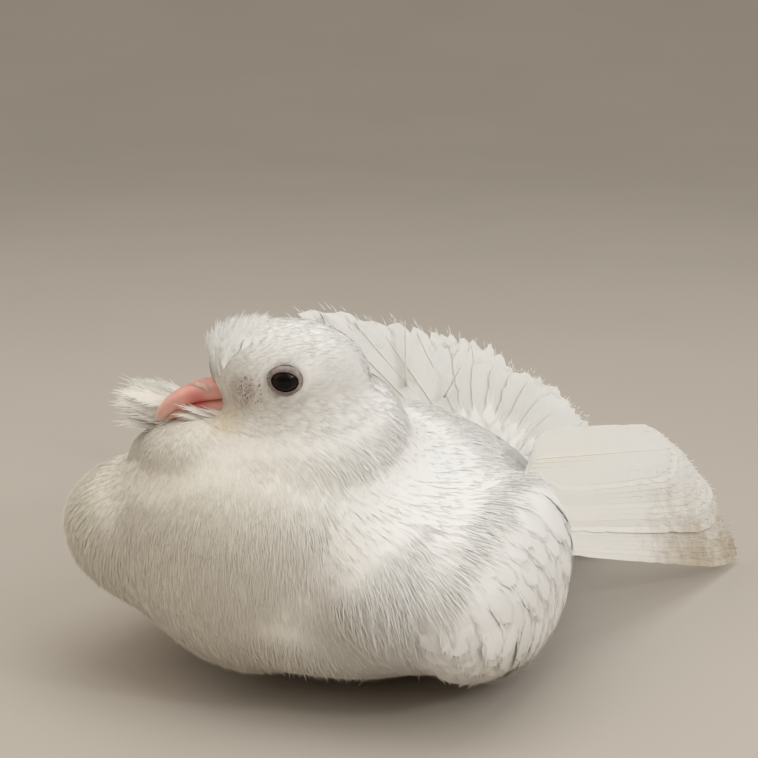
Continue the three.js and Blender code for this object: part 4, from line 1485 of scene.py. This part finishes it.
class PIGEON_OT_tail_coverts(bpy.types.Operator):
    """Lays tiers of soft coverts round the root of the fan, before and behind it"""

    bl_idname = "pigeon.tail_coverts"
    bl_label = "Tail coverts"

    def execute(self, context):
        rng = np.random.default_rng(71)
        colours = context.scene.pigeon_colours
        material = plumage_material("tail_covert_plumage", colours, streaks=12.0, relief=0.2)
        for name, facing, sector, middle, apart, lean, tiers in (
            ("front", -1.0, (-82, 78), (-3, 80, 20), -2.2, 4, ((38, 5, 17), (34, 4, 13), (28, 2, 10))),
            ("behind", 1.0, (-112, 106), (-4, 92, 12), 2.0, 3, ((44, 6, 24), (38, 5, 18), (32, 3, 13))),
        ):
            coat = Coat("silky", 7, 2, 44, reach=0.16, first=0.15, cup=0.03)
            for number, (count, reach, size) in enumerate(tiers):
                self.tier(coat, rng, np.linspace(*sector, count), np.add(middle, (0, apart * number, 0)),
                          reach, size, facing, lean + 2 * number)
            placed(coat.mesh(f"tail_coverts_{name}", softness=0.8), "plumage", material)
        return {"FINISHED"}

    def tier(self, coat, rng, degrees, middle, reach, size, facing, lean):
        """One tier: feathers size long that fan out from reach round a middle, facing -1 to the front."""
        count = len(degrees)
        angle = np.radians(degrees + 2.0 * rng.normal(size=count))
        out = np.stack((np.sin(angle), np.full(count, 0.02 * lean * facing), np.cos(angle)), 1)
        face = np.tile(np.array((0.0, facing, 0.15)), (count, 1))
        length = size * (1 + 0.1 * rng.normal(size=count))
        roots = middle + out * reach
        roots[:, 1] += 0.3 * rng.normal(size=count)
        lines = straight_tracks(roots, out, face, length, 7, 0.10 * length)
        coat.add(lines, 0.48 * size, rng, unwrapped(roots + out, middle - (0, 12 * facing, 0)), ragged=0.3,
                 shade=(0.35, 0.62 * facing, 0.7))


def bill_shape(path, width, height, edge=2.4):
    """Places on a bill half: a rounded section that shrinks along its path.

    width and height are each a size, the power by which it shrinks and what is left at the tip."""
    def shrunk(wave, along, size, power, least):
        return np.sign(wave) * np.abs(wave) ** (2 / edge) * (size * (1 - along ** power) + least)

    def shape(angle, along):
        place, heading = along_curve(path, along)
        sideways = np.tile((1.0, 0.0, 0.0), (len(place), 1))
        top = -unit(np.cross(sideways, heading))
        wide = shrunk(np.cos(angle), along, *width)
        high = shrunk(np.sin(angle), along, *height)
        return from_head(place + sideways * wide[:, None] + top * high[:, None]) * MM

    return shape


class PIGEON_OT_bill(bpy.types.Operator):
    """Models the two halves of the bill and the cere with its nostrils"""

    bl_idname = "pigeon.bill"
    bl_label = "Bill"

    def execute(self, context):
        colours = context.scene.pigeon_colours
        horn = bill_material(colours)
        for name, stations, path, width, height in (
            ("bill_upper", 24,
             ((0, -12.5, -2.8), (0, -19.2, -3.9), (0, -24.6, -6.2), (0, -27.6, -8.8), (0, -28.3, -10.6)),
             (4.1, 1.6, 0.25), (2.2, 1.9, 0.3)),
            ("bill_lower", 20, ((0, -11.5, -6.9), (0, -19, -7.3), (0, -23.8, -8.7), (0, -26.8, -10.3)),
             (3.8, 1.5, 0.25), (1.7, 1.8, 0.25)),
        ):
            deselect_all()
            half = drawn_bar(f"{name}_horn", stations, 28, bill_shape(path, width, height))
            finish_with(half, "SUBSURF", levels=1, render_levels=1)
            smooth_shaded(half)
            placed(half, "bill_horn", horn, name)
        self.cere(colours)
        return {"FINISHED"}

    def cere(self, colours):
        deselect_all()
        cere = ball("cere_skin", 56, 36)
        way = read_points(cere)
        points = way * (4.3, 4.6, 1.9) + (0, -17.4, -2.9)
        cleft = np.exp(-(way[:, 0] / 0.13) ** 2) * (way[:, 2] > 0)
        points[:, 2] -= 0.55 * cleft
        for _, side in SIDES:
            slit = np.abs(points[:, 2] + 2.8 + 0.25 * (points[:, 1] + 19)) / 0.5
            near = np.exp(-slit ** 2 - ((points[:, 1] + 19.4) / 1.8) ** 4) * (points[:, 0] * side > 1.5)
            points[:, 0] -= side * 0.8 * near
        write_points(cere, from_head(points) * MM)
        smooth_shaded(cere)
        placed(cere, "cere_skin", cere_material(colours), "cere")


class PIGEON_OT_eyes(bpy.types.Operator):
    """Models both eyes and the wrinkled lids round them"""

    bl_idname = "pigeon.eyes"
    bl_label = "Eyes and lids"

    def execute(self, context):
        wet = eye_material()
        lid_skin = lid_material()
        for name, side in SIDES:
            deselect_all()
            eye = ball(f"eyeball_{name}", 64, 48)
            way = read_points(eye)[:, (2, 1, 0)] * (side, 1, 1)
            write_points(eye, from_head(way * EYE_REACH + EYE_AT * (side, 1, 1)) * MM)
            facing_out(eye)
            smooth_shaded(eye)
            placed(eye, "eye_glass", wet, f"eye_{name}")
            placed(self.lids(name, side), "cere_skin", lid_skin)
        return {"FINISHED"}

    def lids(self, name, side):
        deselect_all()
        bpy.ops.mesh.primitive_torus_add(
            major_segments=96, minor_segments=20, major_radius=1.0, minor_radius=0.25)
        ring = fresh(f"lids_{name}")
        flat = read_points(ring)
        angle = np.arctan2(flat[:, 1], flat[:, 0])
        spread = np.hypot(flat[:, 0], flat[:, 1])
        inner = (1.25 - spread) / 0.5
        rise = flat[:, 2] / 0.25
        wide = 4.0 - 1.0 * inner
        high = 3.4 - 1.2 * inner
        folds = 0.12 * np.sin(angle * 17 + 2 * np.sin(angle * 3)) * np.sin(math.pi * inner)
        across, up = wide * np.cos(angle), high * np.sin(angle)
        y = across * math.cos(LID_TILT) + up * math.sin(LID_TILT)
        z = -across * math.sin(LID_TILT) + up * math.cos(LID_TILT)
        on_eye = EYE_REACH[0] * np.sqrt(1 - np.minimum(np.hypot(y, z) / 3.7, 0.98) ** 2) + 0.14
        share = ease(inner, 0.1, 0.8)
        level = self.skin_level(y, z, side) * (1 - share) + on_eye * share
        x = np.maximum(level, on_eye) + folds + 0.22 * rise
        write_points(ring, from_head((np.stack((x, y, z), 1) + EYE_AT) * (side, 1, 1)) * MM)
        facing_out(ring)
        smooth_shaded(ring)
        return ring

    def skin_level(self, y, z, side):
        """How far out of the eye's middle the skin lies at places round the eye."""
        level = []
        turned = Vector(HEAD_TURN @ (-side, 0.0, 0.0))
        for place in from_head((np.stack((np.full(len(y), 18.0), y, z), 1) + EYE_AT) * (side, 1, 1)):
            at, _, _, _ = skin_surface().tree.ray_cast(Vector(place), turned)
            if at is None:
                raise RuntimeError("the lids reach past the skin")
            level.append(to_head(np.array(at))[0] * side - EYE_AT[0])
        return np.array(level)


class PIGEON_OT_feet(bpy.types.Operator):
    """Models the feet folded under the belly, with scutes on top and claws"""

    bl_idname = "pigeon.feet"
    bl_label = "Feet"

    def execute(self, context):
        skin = foot_material(context.scene.pigeon_colours)
        horn = claw_material()
        for name, side in SIDES:
            ankle = np.array((17 * side, 6, 4.5))
            shank = [(19 * side, 30, 12.5), (18 * side, 18, 8), ankle]
            parts = [self.bar(f"shank_{name}", shank, 2.3, 2.3, 0.12)]
            claws = []
            for number, (turn, length) in enumerate(((-28, 25), (0, 32), (26, 25), (180, 16))):
                turn = math.radians(turn)
                ahead = np.array((math.sin(turn) * side, -math.cos(turn), 0))
                middle = ankle + ahead * (0.5 * length)
                middle[2] = 2.5
                end = ankle + ahead * (length - 5.5)
                end[2] = 1.8
                tip = ankle + ahead * (length - 0.4)
                tip[2] = 0.7
                parts.append(self.bar(f"toe_{name}_{number}", [ankle, middle, end], 2.3, 1.35, 0.14))
                bend = (end + tip) / 2 + np.array((0, 0, 0.6))
                claws.append(self.bar(f"claw_{name}_{number}", [end - ahead, bend, tip], 1.0, 0.15, 0.0))
            foot = joined(parts, f"foot_skin_{name}")
            smooth_shaded(foot)
            placed(foot, "foot_skin", skin, f"foot_{name}")
            claw = joined(claws, f"claws_{name}")
            smooth_shaded(claw)
            placed(claw, "bill_horn", horn)
        return {"FINISHED"}

    def bar(self, name, path, thick, thin, scutes):
        def shape(angle, along):
            place, heading = along_curve(path, along)
            across = unit(np.cross(heading, UP))
            top = unit(np.cross(across, heading))
            radius = thick + (thin - thick) * along
            ridge = 1 + scutes * np.abs(np.sin(along * math.pi * 9)) * (np.sin(angle) > 0)
            ends = np.sqrt(np.clip(1 - (2 * along - 1) ** 8, 0.05, 1))
            radius = radius * ends * ridge
            points = place + across * (np.cos(angle) * radius)[:, None]
            points += top * (np.sin(angle) * radius)[:, None]
            points[:, 2] = np.maximum(points[:, 2], SKIN_FLOOR)
            return points * MM
        deselect_all()
        return drawn_bar(name, 28, 14, shape)


class PIGEON_PT_panel(bpy.types.Panel):
    """Lists the pieces of the pigeon and the sizes and colours that shape them"""

    bl_idname = "PIGEON_PT_panel"
    bl_label = "Fantail Pigeon"
    bl_space_type = "VIEW_3D"
    bl_region_type = "UI"
    bl_category = "Pigeon"

    def draw(self, context):
        scene = context.scene
        for group in (scene.pigeon_sizes, scene.pigeon_colours, scene.pigeon_stage):
            box = self.layout.box()
            for name in group.__annotations__:
                box.prop(group, name)
        for operator in OPERATORS:
            self.layout.operator(operator.bl_idname)


GROUPS = (
    ("pigeon_sizes", PigeonSizes),
    ("pigeon_colours", PigeonColours),
    ("pigeon_stage", PigeonStage),
)
OPERATORS = (
    PIGEON_OT_stage, PIGEON_OT_skin, PIGEON_OT_coat, PIGEON_OT_wing_coverts, PIGEON_OT_skirt,
    PIGEON_OT_head_coat, PIGEON_OT_tufts, PIGEON_OT_flight, PIGEON_OT_fan, PIGEON_OT_tail_coverts,
    PIGEON_OT_bill, PIGEON_OT_eyes, PIGEON_OT_feet,
)


def register():
    for name, group in GROUPS:
        bpy.utils.register_class(group)
        setattr(bpy.types.Scene, name, bpy.props.PointerProperty(type=group))
    for cls in (*OPERATORS, PIGEON_PT_panel):
        bpy.utils.register_class(cls)


def unregister():
    for cls in (PIGEON_PT_panel, *reversed(OPERATORS)):
        bpy.utils.unregister_class(cls)
    for name, group in reversed(GROUPS):
        delattr(bpy.types.Scene, name)
        bpy.utils.unregister_class(group)


def main():
    register()
    for operator in OPERATORS:
        group, name = operator.bl_idname.split(".")
        getattr(getattr(bpy.ops, group), name)()


if __name__ == "__main__":
    main()
